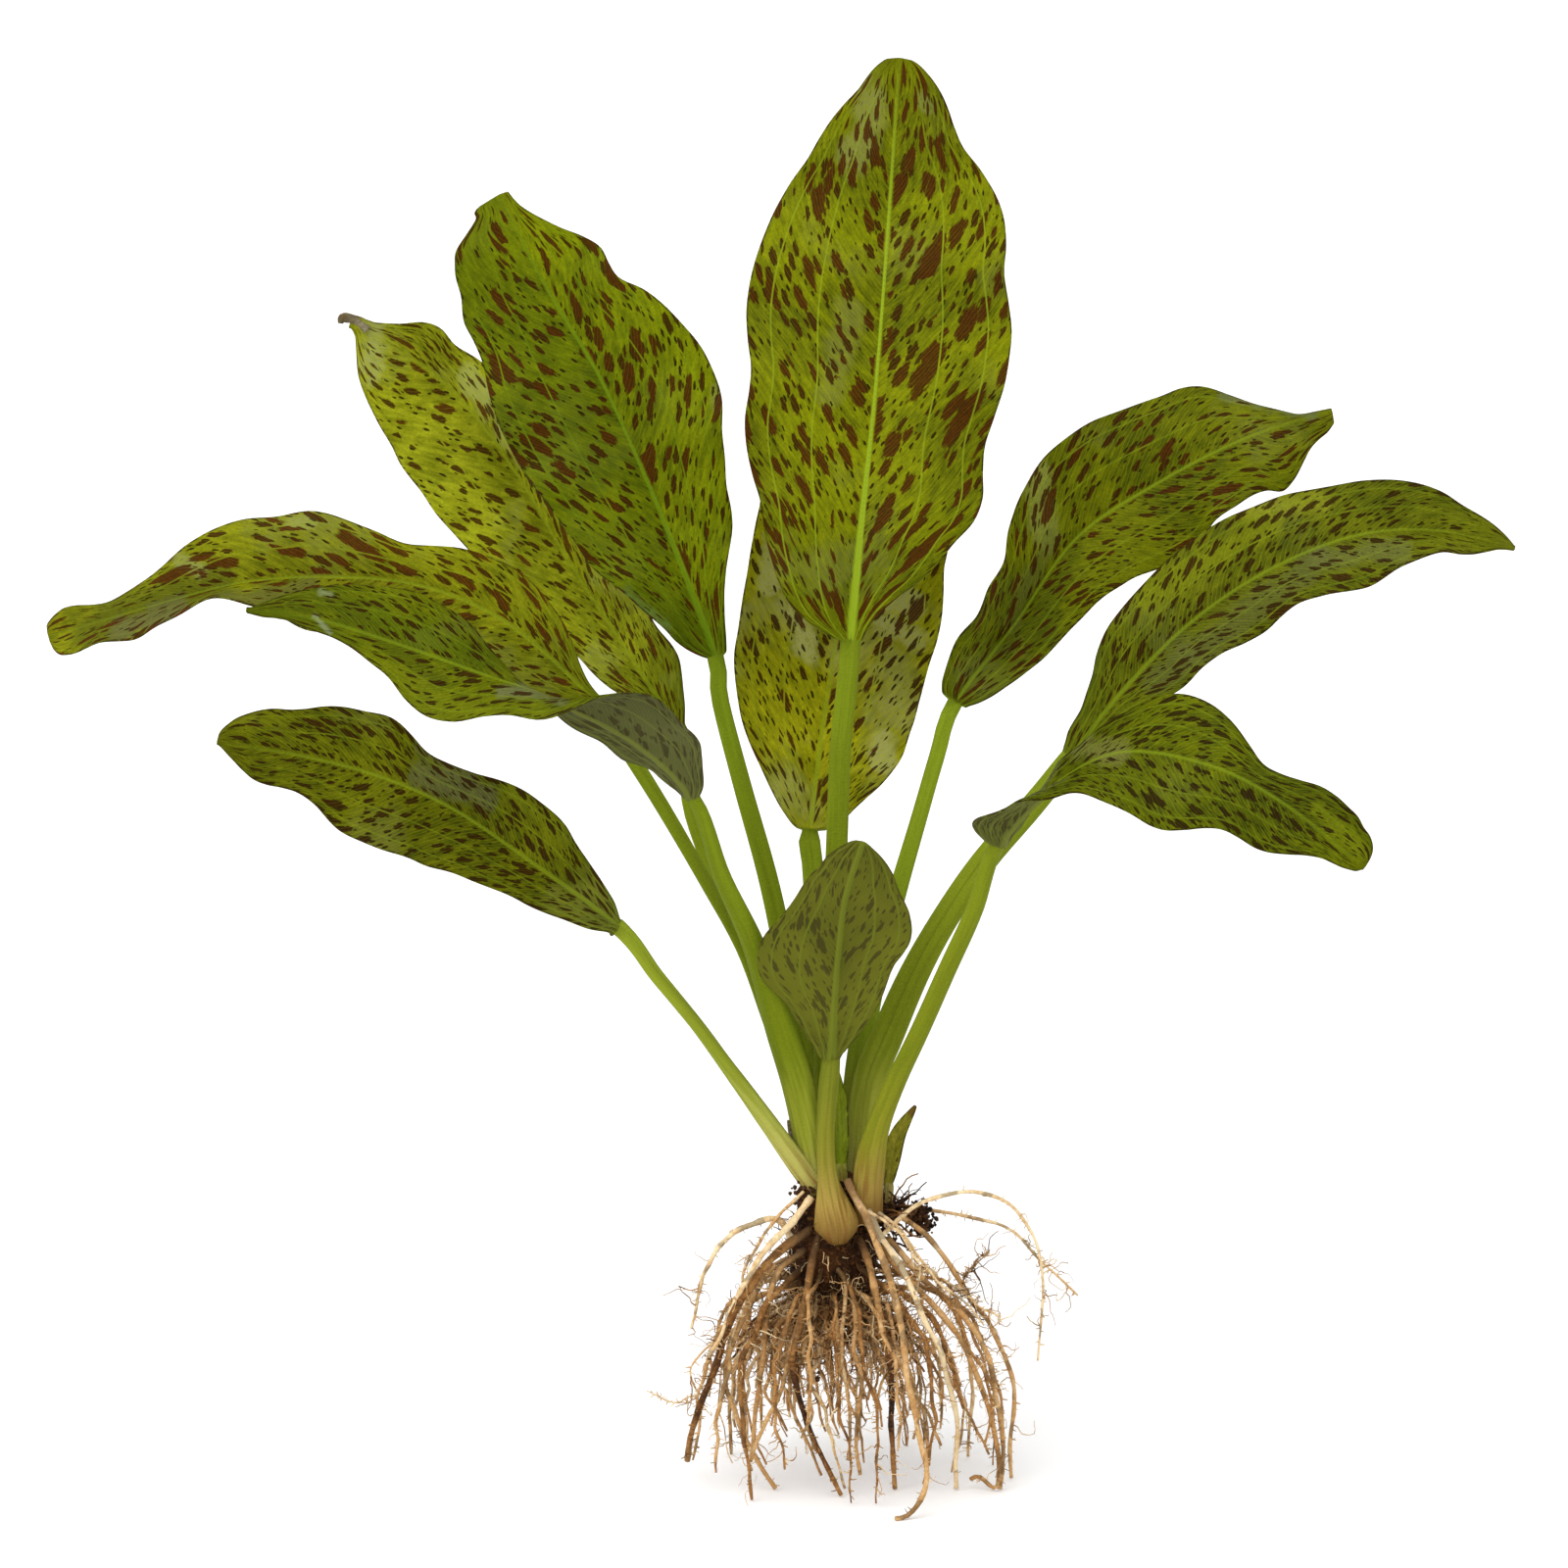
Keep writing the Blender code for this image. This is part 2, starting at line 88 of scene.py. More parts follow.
def even_route(points, shares) -> np.ndarray:
    """Place points along the smooth curve through some knots.

    Args:
        points: Knots in millimetres.
        shares: Shares of the curve's length, from 0 to 1.

    Returns:
        One point for each share.
    """
    knots = np.asarray(points, float)
    dense = spline(knots, np.linspace(0, len(knots) - 1, 48 * (len(knots) - 1) + 1))
    reach = np.concatenate(([0.0], np.cumsum(np.linalg.norm(np.diff(dense, axis=0), axis=1))))
    return np.stack([np.interp(np.asarray(shares) * reach[-1], reach, dense[:, i]) for i in range(3)], axis=1)


def chain_length(points) -> float:
    """Length of the straight chain through the points."""
    return float(np.linalg.norm(np.diff(np.asarray(points, float), axis=0), axis=1).sum())


def unit(vectors: np.ndarray) -> np.ndarray:
    """The same vectors with a length of one."""
    return vectors / np.maximum(np.linalg.norm(vectors, axis=-1, keepdims=True), 1e-9)


def deselect() -> None:
    """Leave nothing selected."""
    for shown in bpy.context.selected_objects:
        shown.select_set(False)


def only(piece: bpy.types.Object) -> None:
    """Make one object the selected and active one."""
    deselect()
    piece.select_set(True)
    bpy.context.view_layer.objects.active = piece


def write_points(mesh: bpy.types.Mesh, points: np.ndarray) -> None:
    """Move a mesh's vertices to points given in millimetres."""
    mesh.vertices.foreach_set("co", (points.reshape(-1, 3) * MM).ravel())
    mesh.update()


def write_attribute(mesh: bpy.types.Mesh, name: str, values: np.ndarray) -> None:
    """Store three numbers at each vertex under a name that materials read."""
    made = mesh.attributes.new(name=name, type="FLOAT_VECTOR", domain="POINT")
    made.data.foreach_set("vector", np.asarray(values, np.float32).ravel())


def unrolled_skin(name: str, points: np.ndarray, attributes: dict[str, np.ndarray]) -> bpy.types.Object:
    """Make a closed body from a grid whose first and last columns meet.

    Args:
        name: Name of the piece.
        points: Rows by columns by three, in millimetres.
        attributes: Three numbers for each vertex, by name.

    Returns:
        The object, with its seam merged, its ends filled and its faces outwards.
    """
    rows, columns = points.shape[:2]
    deselect()
    bpy.ops.mesh.primitive_grid_add(x_subdivisions=columns - 1, y_subdivisions=rows - 1, size=1.0)
    piece = bpy.context.object
    piece.name = piece.data.name = name
    write_points(piece.data, points)
    for label, values in attributes.items():
        write_attribute(piece.data, label, values)
    bpy.ops.object.mode_set(mode="EDIT")
    bpy.ops.mesh.select_all(action="SELECT")
    bpy.ops.mesh.remove_doubles(threshold=1e-7)
    bpy.ops.mesh.fill_holes(sides=0)
    bpy.ops.mesh.select_all(action="SELECT")
    bpy.ops.mesh.normals_make_consistent(inside=False)
    bpy.ops.object.mode_set(mode="OBJECT")
    piece.data.shade_smooth()
    return piece


@dataclass
class Strand:
    """One root or fibre: points and radii in millimetres, and tones from 0, cream, to 1, black."""

    points: np.ndarray
    radii: np.ndarray
    tone: float | np.ndarray


def strand_mesh(name: str, strands: list[Strand], level: int) -> bpy.types.Object:
    """Turn strands into round tubes with closed ends.

    Args:
        name: Name of the piece.
        strands: The strands.
        level: Bevel level; a tube has four sides and two more for each level.

    Returns:
        One mesh object with the attribute "strand": share of the length, tone, and length so far.
    """
    curve = bpy.data.curves.new(name, "CURVE")
    curve.dimensions = "3D"
    curve.bevel_depth = MM
    curve.bevel_resolution = level
    marks = []
    for strand in strands:
        count = len(strand.points)
        run = curve.splines.new("POLY")
        run.points.add(count - 1)
        run.points.foreach_set("co", np.column_stack((strand.points * MM, np.ones(count))).ravel())
        run.points.foreach_set("radius", np.asarray(strand.radii, float))
        reach = np.concatenate(([0.0], np.cumsum(np.linalg.norm(np.diff(strand.points, axis=0), axis=1))))
        marks.append(np.column_stack((np.linspace(0, 1, count), np.broadcast_to(strand.tone, count), reach)))
    piece = bpy.data.objects.new(name, curve)
    bpy.context.scene.collection.objects.link(piece)
    only(piece)
    bpy.ops.object.convert(target="MESH")
    piece = bpy.context.object
    write_attribute(piece.data, "strand", np.repeat(np.concatenate(marks), 4 + 2 * level, axis=0))
    bpy.ops.object.mode_set(mode="EDIT")
    bpy.ops.mesh.select_all(action="SELECT")
    bpy.ops.mesh.fill_holes(sides=0)
    bpy.ops.mesh.select_all(action="SELECT")
    bpy.ops.mesh.normals_make_consistent(inside=False)
    bpy.ops.object.mode_set(mode="OBJECT")
    piece.data.shade_smooth()
    return piece


def finish_piece(piece: bpy.types.Object, material: bpy.types.Material, slot: str, *nodes: str) -> None:
    """Dress a piece, let it ride on the plant and stand for the solids that it replaces.

    Args:
        piece: The finished object.
        material: Its material.
        slot: Not used.
        nodes: Solids that the piece stands for.
    """
    piece.data.materials.clear()
    piece.data.materials.append(material)
    if nodes:
        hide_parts(*nodes)
    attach(piece, "root")
    LOG.info("%s: %d faces", piece.name, len(piece.data.polygons))


# ---------------------------------------------------------------- materials

Colour = tuple[float, float, float]


def linear(colour: Colour) -> tuple[float, float, float, float]:
    """A 0 to 255 colour as the linear colour with alpha that sockets take."""
    parts = [value / 255 for value in colour]
    return (*(part / 12.92 if part <= 0.04045 else ((part + 0.055) / 1.055) ** 2.4 for part in parts), 1.0)


class Graph:
    """Adds and joins the nodes of one material or node group."""

    def __init__(self, tree: bpy.types.NodeTree) -> None:
        """Work on one node tree."""
        self.tree = tree

    def feed(self, socket: bpy.types.NodeSocket, value) -> None:
        """Join a socket to another, or set its value."""
        if isinstance(value, bpy.types.NodeSocket):
            self.tree.links.new(value, socket)
        else:
            socket.default_value = value

    def node(self, kind: str, inputs: dict | None = None, **settings) -> bpy.types.Node:
        """Add a node.

        Args:
            kind: The node's type.
            inputs: Values or sockets by input name or number.
            settings: The node's own settings.

        Returns:
            The node.
        """
        made = self.tree.nodes.new(kind)
        for name, value in settings.items():
            setattr(made, name, value)
        for name, value in (inputs or {}).items():
            self.feed(made.inputs[name], value)
        return made

    def math(self, operation: str, *values, clamp: bool = False) -> bpy.types.NodeSocket:
        """Result of a Math node."""
        made = self.node("ShaderNodeMath", dict(enumerate(values)), operation=operation)
        made.use_clamp = clamp
        return made.outputs[0]

    def times(self, first, second, clamp: bool = False) -> bpy.types.NodeSocket:
        """Product of two numbers."""
        return self.math("MULTIPLY", first, second, clamp=clamp)

    def mix(self, share, first, second) -> bpy.types.NodeSocket:
        """Colour from first to second by a share from 0 to 1."""
        made = self.node("ShaderNodeMix", data_type="RGBA")
        for index, value in ((0, share), (6, first), (7, second)):
            if isinstance(value, tuple) and len(value) == 3:
                value = linear(value)
            self.feed(made.inputs[index], value)
        return made.outputs[2]

    def step(self, value, low: float, high: float) -> bpy.types.NodeSocket:
        """Smooth rise from 0 to 1 between two values, or a fall where low is above high."""
        swap = low > high
        made = self.node("ShaderNodeMapRange", {"Value": value, "From Min": min(low, high),
                                                "From Max": max(low, high), "To Min": float(swap),
                                                "To Max": float(not swap)},
                         interpolation_type="SMOOTHSTEP")
        return made.outputs["Result"]

    def noise(self, vector, scale: float, detail: float = 2.0, rough: float = 0.5) -> bpy.types.NodeSocket:
        """Noise from 0 to 1."""
        made = self.node("ShaderNodeTexNoise", {"Vector": vector, "Scale": scale, "Detail": detail,
                                                "Roughness": rough})
        return made.outputs["Fac"]

    def vector(self, operation: str, first, second) -> bpy.types.NodeSocket:
        """Result of a Vector Math node, a number where the operation gives one."""
        made = self.node("ShaderNodeVectorMath", {0: first, 1: second}, operation=operation)
        return made.outputs["Value" if operation in ("DOT_PRODUCT", "DISTANCE") else "Vector"]

    def split(self, vector) -> tuple[bpy.types.NodeSocket, ...]:
        """The three parts of a vector."""
        return tuple(self.node("ShaderNodeSeparateXYZ", {0: vector}).outputs)

    def join(self, x, y, z) -> bpy.types.NodeSocket:
        """A vector from three parts."""
        return self.node("ShaderNodeCombineXYZ", {0: x, 1: y, 2: z}).outputs[0]

    def attribute(self, name: str) -> bpy.types.NodeSocket:
        """Vector stored at the piece's vertices."""
        return self.node("ShaderNodeAttribute", attribute_name=name).outputs["Vector"]

    def object_place(self) -> bpy.types.NodeSocket:
        """Place on the piece in metres."""
        return self.node("ShaderNodeTexCoord").outputs["Object"]

    def place_group(self, group: bpy.types.NodeTree, inputs: dict) -> bpy.types.Node:
        """Place a shared effect with its own values."""
        made = self.node("ShaderNodeGroup", node_tree=group)
        for name, value in inputs.items():
            self.feed(made.inputs[name], value)
        return made


def new_group(name: str, inputs: dict[str, str], outputs: dict[str, str]):
    """Start a node group with named sockets.

    Args:
        name: The group's name.
        inputs: Kind of each input by name, such as "Float" or "Vector".
        outputs: Kind of each output by name.

    Returns:
        The group, a Graph to fill it, its input sockets by name and its output node.
    """
    group = bpy.data.node_groups.new(name, "ShaderNodeTree")
    for label, kind in inputs.items():
        group.interface.new_socket(label, in_out="INPUT", socket_type=f"NodeSocket{kind}")
    for label, kind in outputs.items():
        group.interface.new_socket(label, in_out="OUTPUT", socket_type=f"NodeSocket{kind}")
    graph = Graph(group)
    return group, graph, graph.node("NodeGroupInput").outputs, graph.node("NodeGroupOutput").inputs


class Effects:
    """Effects that several finishes share, each made once."""

    def __init__(self) -> None:
        """Make the node groups."""
        self.blotches = self._blotches()
        self.veinlets = self._veinlets()
        self.mottle = self._mottle()
        self.patch = self._patch()

    @staticmethod
    def _patch() -> bpy.types.NodeTree:
        """Soft ragged area round a line from a start by a run, seen from the front."""
        group, graph, given, out = new_group(
            "Patch", {"Vector": "Vector", "Start": "Vector", "Run": "Vector", "Radius": "Float"},
            {"Mask": "Float"})
        x, _, z = graph.split(given["Vector"])
        from_start = graph.vector("SUBTRACT", graph.join(x, 0.0, z), given["Start"])
        share = graph.math("DIVIDE", graph.vector("DOT_PRODUCT", from_start, given["Run"]),
                           graph.vector("DOT_PRODUCT", given["Run"], given["Run"]), clamp=True)
        along = graph.node("ShaderNodeVectorMath", {0: given["Run"], "Scale": share},
                           operation="SCALE").outputs[0]
        away = graph.vector("DISTANCE", from_start, along)
        ragged = graph.math("SUBTRACT", graph.noise(given["Vector"], 130.0, 5.0, 0.65), 0.5)
        away = graph.math("MULTIPLY_ADD", ragged, 2.2, graph.math("DIVIDE", away, given["Radius"]))
        graph.feed(out["Mask"], graph.step(away, 1.15, 0.3))
        return group

    @staticmethod
    def _blotches() -> bpy.types.NodeTree:
        """Ragged bars of colour in rows across a vector whose first two parts are millimetres."""
        group, graph, given, out = new_group(
            "Blotches", {"Vector": "Vector", "Cell": "Float", "Filled": "Float", "Radius": "Float",
                         "Ragged": "Float"}, {"Mask": "Float"})
        row, run, offset = graph.split(given["Vector"])
        comb = graph.noise(graph.join(graph.times(row, 1.5), offset, 0.0), 1.0, 1.0)
        comb = graph.times(graph.math("SUBTRACT", comb, 0.5), given["Ragged"])
        run = graph.times(graph.math("ADD", run, comb), 0.46)
        along = graph.math("ADD", graph.math("DIVIDE", row, given["Cell"]), offset)
        spread = graph.math("DIVIDE", run, given["Cell"])
        place = graph.join(along, spread, 0.0)
        cells = graph.node("ShaderNodeTexVoronoi", {"Vector": place, "Scale": 1.0, "Randomness": 0.9},
                           voronoi_dimensions="2D", feature="F1")
        chance, size, _ = graph.split(cells.outputs["Color"])
        radius = graph.times(given["Radius"], graph.math("MULTIPLY_ADD", size, 0.9, 0.45))
        edge = graph.times(graph.math("SUBTRACT", graph.noise(place, 4.0, 4.0, 0.6), 0.5), 0.5)
        gap = graph.math("SUBTRACT", radius, graph.math("ADD", cells.outputs["Distance"], edge))
        body = graph.step(gap, -0.02, 0.05)
        crowd = graph.noise(graph.join(graph.times(row, 0.06), graph.times(run, 0.06),
                                       offset), 1.0, 1.0)
        filled = graph.times(given["Filled"], graph.math("MULTIPLY_ADD", crowd, 1.8, 0.1))
        graph.feed(out["Mask"], graph.times(body, graph.math("LESS_THAN", chance, filled)))
        return group

    @staticmethod
    def _veinlets() -> bpy.types.NodeTree:
        """Thin wavering lines in rows, a set spacing apart."""
        group, graph, given, out = new_group(
            "Veinlets", {"Vector": "Vector", "Spacing": "Float"}, {"Line": "Float"})
        row, run, offset = graph.split(given["Vector"])
        waver = graph.noise(graph.join(graph.times(row, 0.25), graph.times(run, 0.12),
                                       offset), 1.0, 2.0)
        phase = graph.math("ADD", graph.math("DIVIDE", row, given["Spacing"]), graph.times(waver, 2.2))
        ridge = graph.math("PINGPONG", phase, 0.5)
        graph.feed(out["Line"], graph.step(ridge, 0.16, 0.02))
        return group

    @staticmethod
    def _mottle() -> bpy.types.NodeTree:
        """Broad and fine clouds of tone."""
        group, graph, given, out = new_group(
            "Mottle", {"Vector": "Vector", "Broad": "Float", "Fine": "Float"},
            {"Cloud": "Float", "Speck": "Float"})
        broad = graph.node("ShaderNodeTexNoise", {"Vector": given["Vector"], "Scale": given["Broad"],
                                                  "Detail": 3.0, "Distortion": 0.4})
        fine = graph.node("ShaderNodeTexNoise", {"Vector": given["Vector"], "Scale": given["Fine"],
                                                 "Detail": 4.0, "Roughness": 0.65})
        graph.feed(out["Cloud"], graph.step(broad.outputs["Fac"], 0.36, 0.64))
        graph.feed(out["Speck"], graph.step(fine.outputs["Fac"], 0.3, 0.7))
        return group


def new_material(name: str) -> tuple[bpy.types.Material, Graph, bpy.types.Node]:
    """Start a material.

    Args:
        name: The material's name.

    Returns:
        The material, a Graph to fill it and its Principled shader.
    """
    made = bpy.data.materials.new(name)
    made.use_nodes = True
    return made, Graph(made.node_tree), made.node_tree.nodes["Principled BSDF"]


@dataclass(frozen=True)
class Patch:
    """Area of a blade seen from the front that paints sheen, highlight or shade in its colour, or pale waxy
    tone with painted sheen where colour is None.

    start and end are across and up and radius is the reach round them, all in millimetres.
    """

    start: tuple[float, float]
    end: tuple[float, float]
    radius: float
    share: float
    colour: Colour | None = None


@dataclass(frozen=True)
class BladeFinish:
    """Spotted leaf: tones of both faces, stalk tones and how thickly it is blotched, with painted shade and
    painted sheen on the blade.
    """

    name: str
    dark: Colour = (84, 89, 0)
    light: Colour = (113, 118, 2)
    # Pale tone of the waxy patches, which stand partly for painted sheen.
    bloom_and_sheen: Colour = (126, 128, 60)
    vein: Colour = (134, 156, 30)
    blotch: Colour = (70, 27, 2)
    dot: Colour = (34, 19, 0)
    under: Colour = (90, 94, 40)
    under_vein: Colour = (112, 120, 48)
    stalk: Colour = (104, 116, 18)
    pale: Colour = (144, 148, 48)
    sheath: Colour = (164, 154, 92)
    streak: Colour = (128, 78, 42)
    foot: Colour = (92, 56, 24)
    base_shade_colour: Colour = (44, 62, 0)
    left_shade_colour: Colour = (46, 62, 0)
    under_blotch: Colour = (50, 42, 22)
    sheath_top: float = 0.07
    base_shade: float = 0.35
    bloom_and_sheen_share: float = 0.35
    vein_share: float = 0.45
    rib_base: float = 0.6
    left_shade: float = 0.0
    filled: tuple[float, ...] = (0.5, 0.7, 0.5, 0.3)
    gloss: float = 0.42
    seed: float = 0.0
    patches: tuple = ()

    def build(self, effects: Effects) -> bpy.types.Material:
        """Make the material.

        Args:
            effects: The shared node groups.

        Returns:
            The material, which reads the attributes grain, ribs and place.
        """
        material, graph, shader = new_material(self.name)
        grain = graph.vector("ADD", graph.attribute("grain"), (0.0, 0.0, self.seed))
        midrib, lateral, margin = graph.split(graph.attribute("ribs"))
        mark, under, half = graph.split(graph.attribute("place"))
        spot = graph.object_place()
        clouds = graph.place_group(effects.mottle, {"Vector": spot, "Broad": 38.0, "Fine": 1500.0}).outputs
        veinlet = graph.place_group(effects.veinlets, {"Vector": grain, "Spacing": 0.8}).outputs["Line"]

        row, run, offset = graph.split(grain)
        fibre = graph.noise(graph.join(graph.times(row, 0.8), graph.times(run, 0.22), offset), 1.0, 3.0)
        tone = graph.math("MULTIPLY_ADD", graph.math("SUBTRACT", fibre, 0.5), 2.0,
                          graph.math("MULTIPLY_ADD", clouds["Cloud"], 0.5, 0.25), clamp=True)
        green = graph.mix(tone, tuple(part * 0.88 for part in self.dark),
                          tuple(part * 1.12 for part in self.light))
        # Painted shade: each blade darkens towards its base.
        green = graph.mix(graph.times(graph.step(mark, 0.42, 0.06), self.base_shade), green, self.base_shade_colour)
        # Painted shade on the left half of the blade.
        green = graph.mix(graph.times(graph.step(half, 0.6, 0.4), self.left_shade), green, self.left_shade_colour)
        # Pale waxy patches that are partly painted sheen, here from noise and below from patches, broken up
        # by fine specks.
        bloom_and_sheen = graph.times(graph.step(graph.noise(spot, 26.0, 4.0, 0.6), 0.52, 0.68), self.bloom_and_sheen_share)
        # Painted sheen, painted highlights and painted shade, placed as seen from the front; patches with no
        # colour add pale waxy tone and painted sheen.
        for patch in self.patches:
            (x, z), (end_x, end_z) = patch.start, patch.end
            shade = graph.place_group(effects.patch, {
                "Vector": spot, "Start": (x * MM, 0.0, z * MM),
                "Run": ((end_x - x) * MM, 0.0, (end_z - z) * MM),
                "Radius": patch.radius * MM}).outputs["Mask"]
            if patch.colour is None:
                bloom_and_sheen = graph.math("MAXIMUM", bloom_and_sheen, graph.times(shade, patch.share))
            else:
                green = graph.mix(graph.times(shade, patch.share), green, patch.colour)
        wrinkle = graph.times(graph.math("MULTIPLY_ADD", clouds["Speck"], 1.2, 0.3), bloom_and_sheen, clamp=True)
        green = graph.mix(wrinkle, green, self.bloom_and_sheen)
        green = graph.mix(graph.times(clouds["Speck"], 0.3), green, tuple(part * 0.5 for part in self.dark))
        green = graph.mix(graph.times(veinlet, 0.24), green, self.vein)

        mask, size = self._blotch_mask(graph, effects, grain, veinlet)
        near_rib = graph.times(graph.step(midrib, 0.4, 1.0), graph.step(lateral, 0.06, 0.3))
        mask = graph.times(mask, near_rib)
        rim = graph.times(graph.step(margin, 0.6, 0.2), graph.step(graph.noise(grain, 0.9, 1.0), 0.45, 0.53))
        mask = graph.math("MAXIMUM", mask, graph.times(rim, 0.85))
        mask = graph.times(mask, graph.step(mark, 0.015, 0.06))
        blotch = graph.mix(graph.times(clouds["Speck"], 0.7), self.blotch,
                           tuple(part * 0.6 for part in self.blotch))
        blotch = graph.mix(size, self.dot, blotch)
        upper = graph.mix(graph.times(mask, 0.94), green, blotch)
        broad = graph.math("MULTIPLY_ADD", graph.step(mark, 0.5, 0.05), self.rib_base, 0.9)
        midrib = graph.math("DIVIDE", midrib, broad)
        lines = graph.math("MAXIMUM", graph.step(midrib, 0.6, 0.2),
                           graph.times(graph.step(lateral, 0.34, 0.08), 0.45))
        lines = graph.times(lines, self.vein_share)
        upper = graph.mix(graph.times(lines, graph.step(mark, 1.02, 0.55)), upper, self.vein)

        dull = graph.mix(clouds["Cloud"], tuple(part * 0.84 for part in self.under), self.under)
        dull = graph.mix(graph.times(veinlet, 0.25), dull, self.under_vein)
        dull = graph.mix(graph.times(mask, 0.72), dull, self.under_blotch)
        wide = graph.math("MAXIMUM", graph.step(midrib, 1.0, 0.5),
                          graph.times(graph.step(lateral, 0.45, 0.12), 0.6))
        dull = graph.mix(graph.times(wide, 0.65), dull, self.under_vein)
        blade = graph.mix(under, upper, dull)

        stem = self._stem(graph, grain, mark, clouds["Speck"])
        graph.feed(shader.inputs["Base Color"], graph.mix(graph.step(mark, 0.0, 0.05), stem, blade))
        rough = graph.math("MULTIPLY_ADD", clouds["Speck"], 0.12, self.gloss)
        rough = graph.math("MULTIPLY_ADD", under, 0.14, rough)
        graph.feed(shader.inputs["Roughness"], graph.math("MULTIPLY_ADD", mask, 0.06, rough))
        height = graph.math("MULTIPLY_ADD", veinlet, 0.5, graph.times(clouds["Speck"], 0.5))
        height = graph.math("ADD", height, graph.times(mask, -0.25))
        bump = graph.node("ShaderNodeBump", {"Strength": 0.6, "Distance": 0.00014, "Height": height})
        graph.feed(shader.inputs["Normal"], bump.outputs["Normal"])
        shader.inputs["Specular IOR Level"].default_value = 0.03
        return material

    def _blotch_mask(self, graph: Graph, effects: Effects, grain,
                     veinlet) -> tuple[bpy.types.NodeSocket, ...]:
        """Blotches and dots together, and where the large ones are."""
        sizes = ((9.0, 0.28, 2.2), (4.9, 0.29, 1.3), (2.9, 0.3, 0.6), (1.4, 0.25, 0.3))
        layers = []
        for index, ((cell, radius, ragged), filled) in enumerate(zip(sizes, self.filled)):
            shifted = graph.vector("ADD", grain, (cell * 3.3, cell * 1.7, 0.37 * index))
            given = {"Vector": shifted, "Cell": cell, "Filled": filled, "Radius": radius, "Ragged": ragged}
            layers.append(graph.place_group(effects.blotches, given).outputs["Mask"])
        large = graph.math("MAXIMUM", layers[0], layers[1])
        mask = graph.math("MAXIMUM", large, graph.math("MAXIMUM", layers[2], layers[3]))
        large = graph.math("MAXIMUM", large, graph.times(layers[2], 0.5))
        return graph.times(mask, graph.math("MULTIPLY_ADD", veinlet, -0.2, 1.0)), large

    def _stem(self, graph: Graph, grain, mark, speck) -> bpy.types.NodeSocket:
        """Stalk colour, paler and streaked with brown towards the crown."""
        along, across, offset = graph.split(grain)
        _, _, z = graph.split(graph.object_place())
        streak = graph.noise(graph.join(graph.times(along, 0.045), graph.times(across, 0.8),
                                        offset), 1.0, 3.0)
        ragged = graph.math("MULTIPLY_ADD", graph.math("SUBTRACT", streak, 0.5), 0.024, z)
        stem = graph.mix(graph.step(ragged, 0.112, 0.084), self.stalk, self.pale)
        stem = graph.mix(graph.step(ragged, self.sheath_top + 0.018, self.sheath_top - 0.003), stem,
                         self.sheath)
        stem = graph.mix(graph.times(graph.step(mark, -0.5, -0.02), 0.2), stem, self.vein)
        stem = graph.mix(graph.times(graph.step(streak, 0.42, 0.62), 0.3), stem,
                         tuple(part * 0.76 for part in self.stalk))
        stem = graph.mix(graph.times(speck, 0.15), stem, self.vein)
        brown = graph.times(graph.step(streak, 0.45, 0.6),
                            graph.step(z, self.sheath_top + 0.018, self.sheath_top))
        stem = graph.mix(graph.times(brown, 0.62), stem, self.streak)
        foot = graph.times(graph.step(ragged, self.sheath_top + 0.002, self.sheath_top - 0.006), 0.6)
        return graph.mix(foot, stem, self.foot)


@dataclass(frozen=True)
class RootFinish:
    """Roots of every age: the strand's tone picks its place on a run of colours."""

    name: str = "roots"
    tones: tuple[Colour, ...] = ((236, 214, 170), (200, 158, 104), (162, 116, 64), (108, 68, 30), (42, 23, 8))
    spread: float = 0.3
    bump: float = 0.00022
    dirt: float = 0.5
    earth: Colour = (40, 22, 8)
    core_heights: tuple[float, float] = (0.04, 0.05)
    axis: float = CROWN_X * MM

    def build(self, effects: Effects) -> bpy.types.Material:
        """Make the material, which reads the attribute strand.

        Args:
            effects: The shared node groups.

        Returns:
            The material.
        """
        material, graph, shader = new_material(self.name)
        share, tone, reach = graph.split(graph.attribute("strand"))
        spot = graph.object_place()
        clouds = graph.place_group(effects.mottle, {"Vector": spot, "Broad": 170.0, "Fine": 1100.0}).outputs
        age = graph.noise(graph.join(graph.times(reach, 0.13), graph.times(tone, 57.0), 0.0), 1.0, 3.0)
        place = graph.math("MULTIPLY_ADD", graph.math("SUBTRACT", age, 0.5), self.spread * 2, tone)
        place = graph.math("MULTIPLY_ADD", graph.math("SUBTRACT", clouds["Speck"], 0.5), 0.16, place)
        ramp = graph.node("ShaderNodeValToRGB", {"Fac": place})
        stops = ramp.color_ramp.elements
        while len(stops) < len(self.tones):
            stops.new(0.5)
        for index, (stop, colour) in enumerate(zip(stops, self.tones)):
            stop.position = 0.04 + 0.92 * index / (len(self.tones) - 1)
            stop.color = linear(colour)
        dirt = graph.times(graph.step(clouds["Cloud"], 0.55, 0.95), self.dirt)
        x, y, z = graph.split(spot)
        across = graph.math("POWER", graph.math("SUBTRACT", x, self.axis), 2.0)
        inside = graph.math("SQRT", graph.math("ADD", across, graph.math("POWER", y, 2.0)))
        # Strands inside the mass just under the crown are darkened towards dark brown.
        held = graph.times(graph.step(z, *self.core_heights), graph.step(inside, 0.019, 0.012))
        held = graph.times(held, graph.step(tone, 0.2, 0.35))
        dirt = graph.math("MAXIMUM", dirt, graph.times(held, 0.85))
        graph.feed(shader.inputs["Base Color"], graph.mix(dirt, ramp.outputs["Color"], self.earth))
        graph.feed(shader.inputs["Roughness"], graph.math("MULTIPLY_ADD", clouds["Speck"], 0.25, 0.5))
        wrinkle = graph.noise(graph.join(graph.times(reach, 1.6), graph.times(tone, 31.0), 0.0), 1.0, 2.0)
        height = graph.math("MULTIPLY_ADD", wrinkle, 0.6, clouds["Speck"])
        bump = graph.node("ShaderNodeBump", {"Strength": 0.6, "Distance": self.bump, "Height": height})
        graph.feed(shader.inputs["Normal"], bump.outputs["Normal"])
        shader.inputs["Specular IOR Level"].default_value = 0.15
        return material


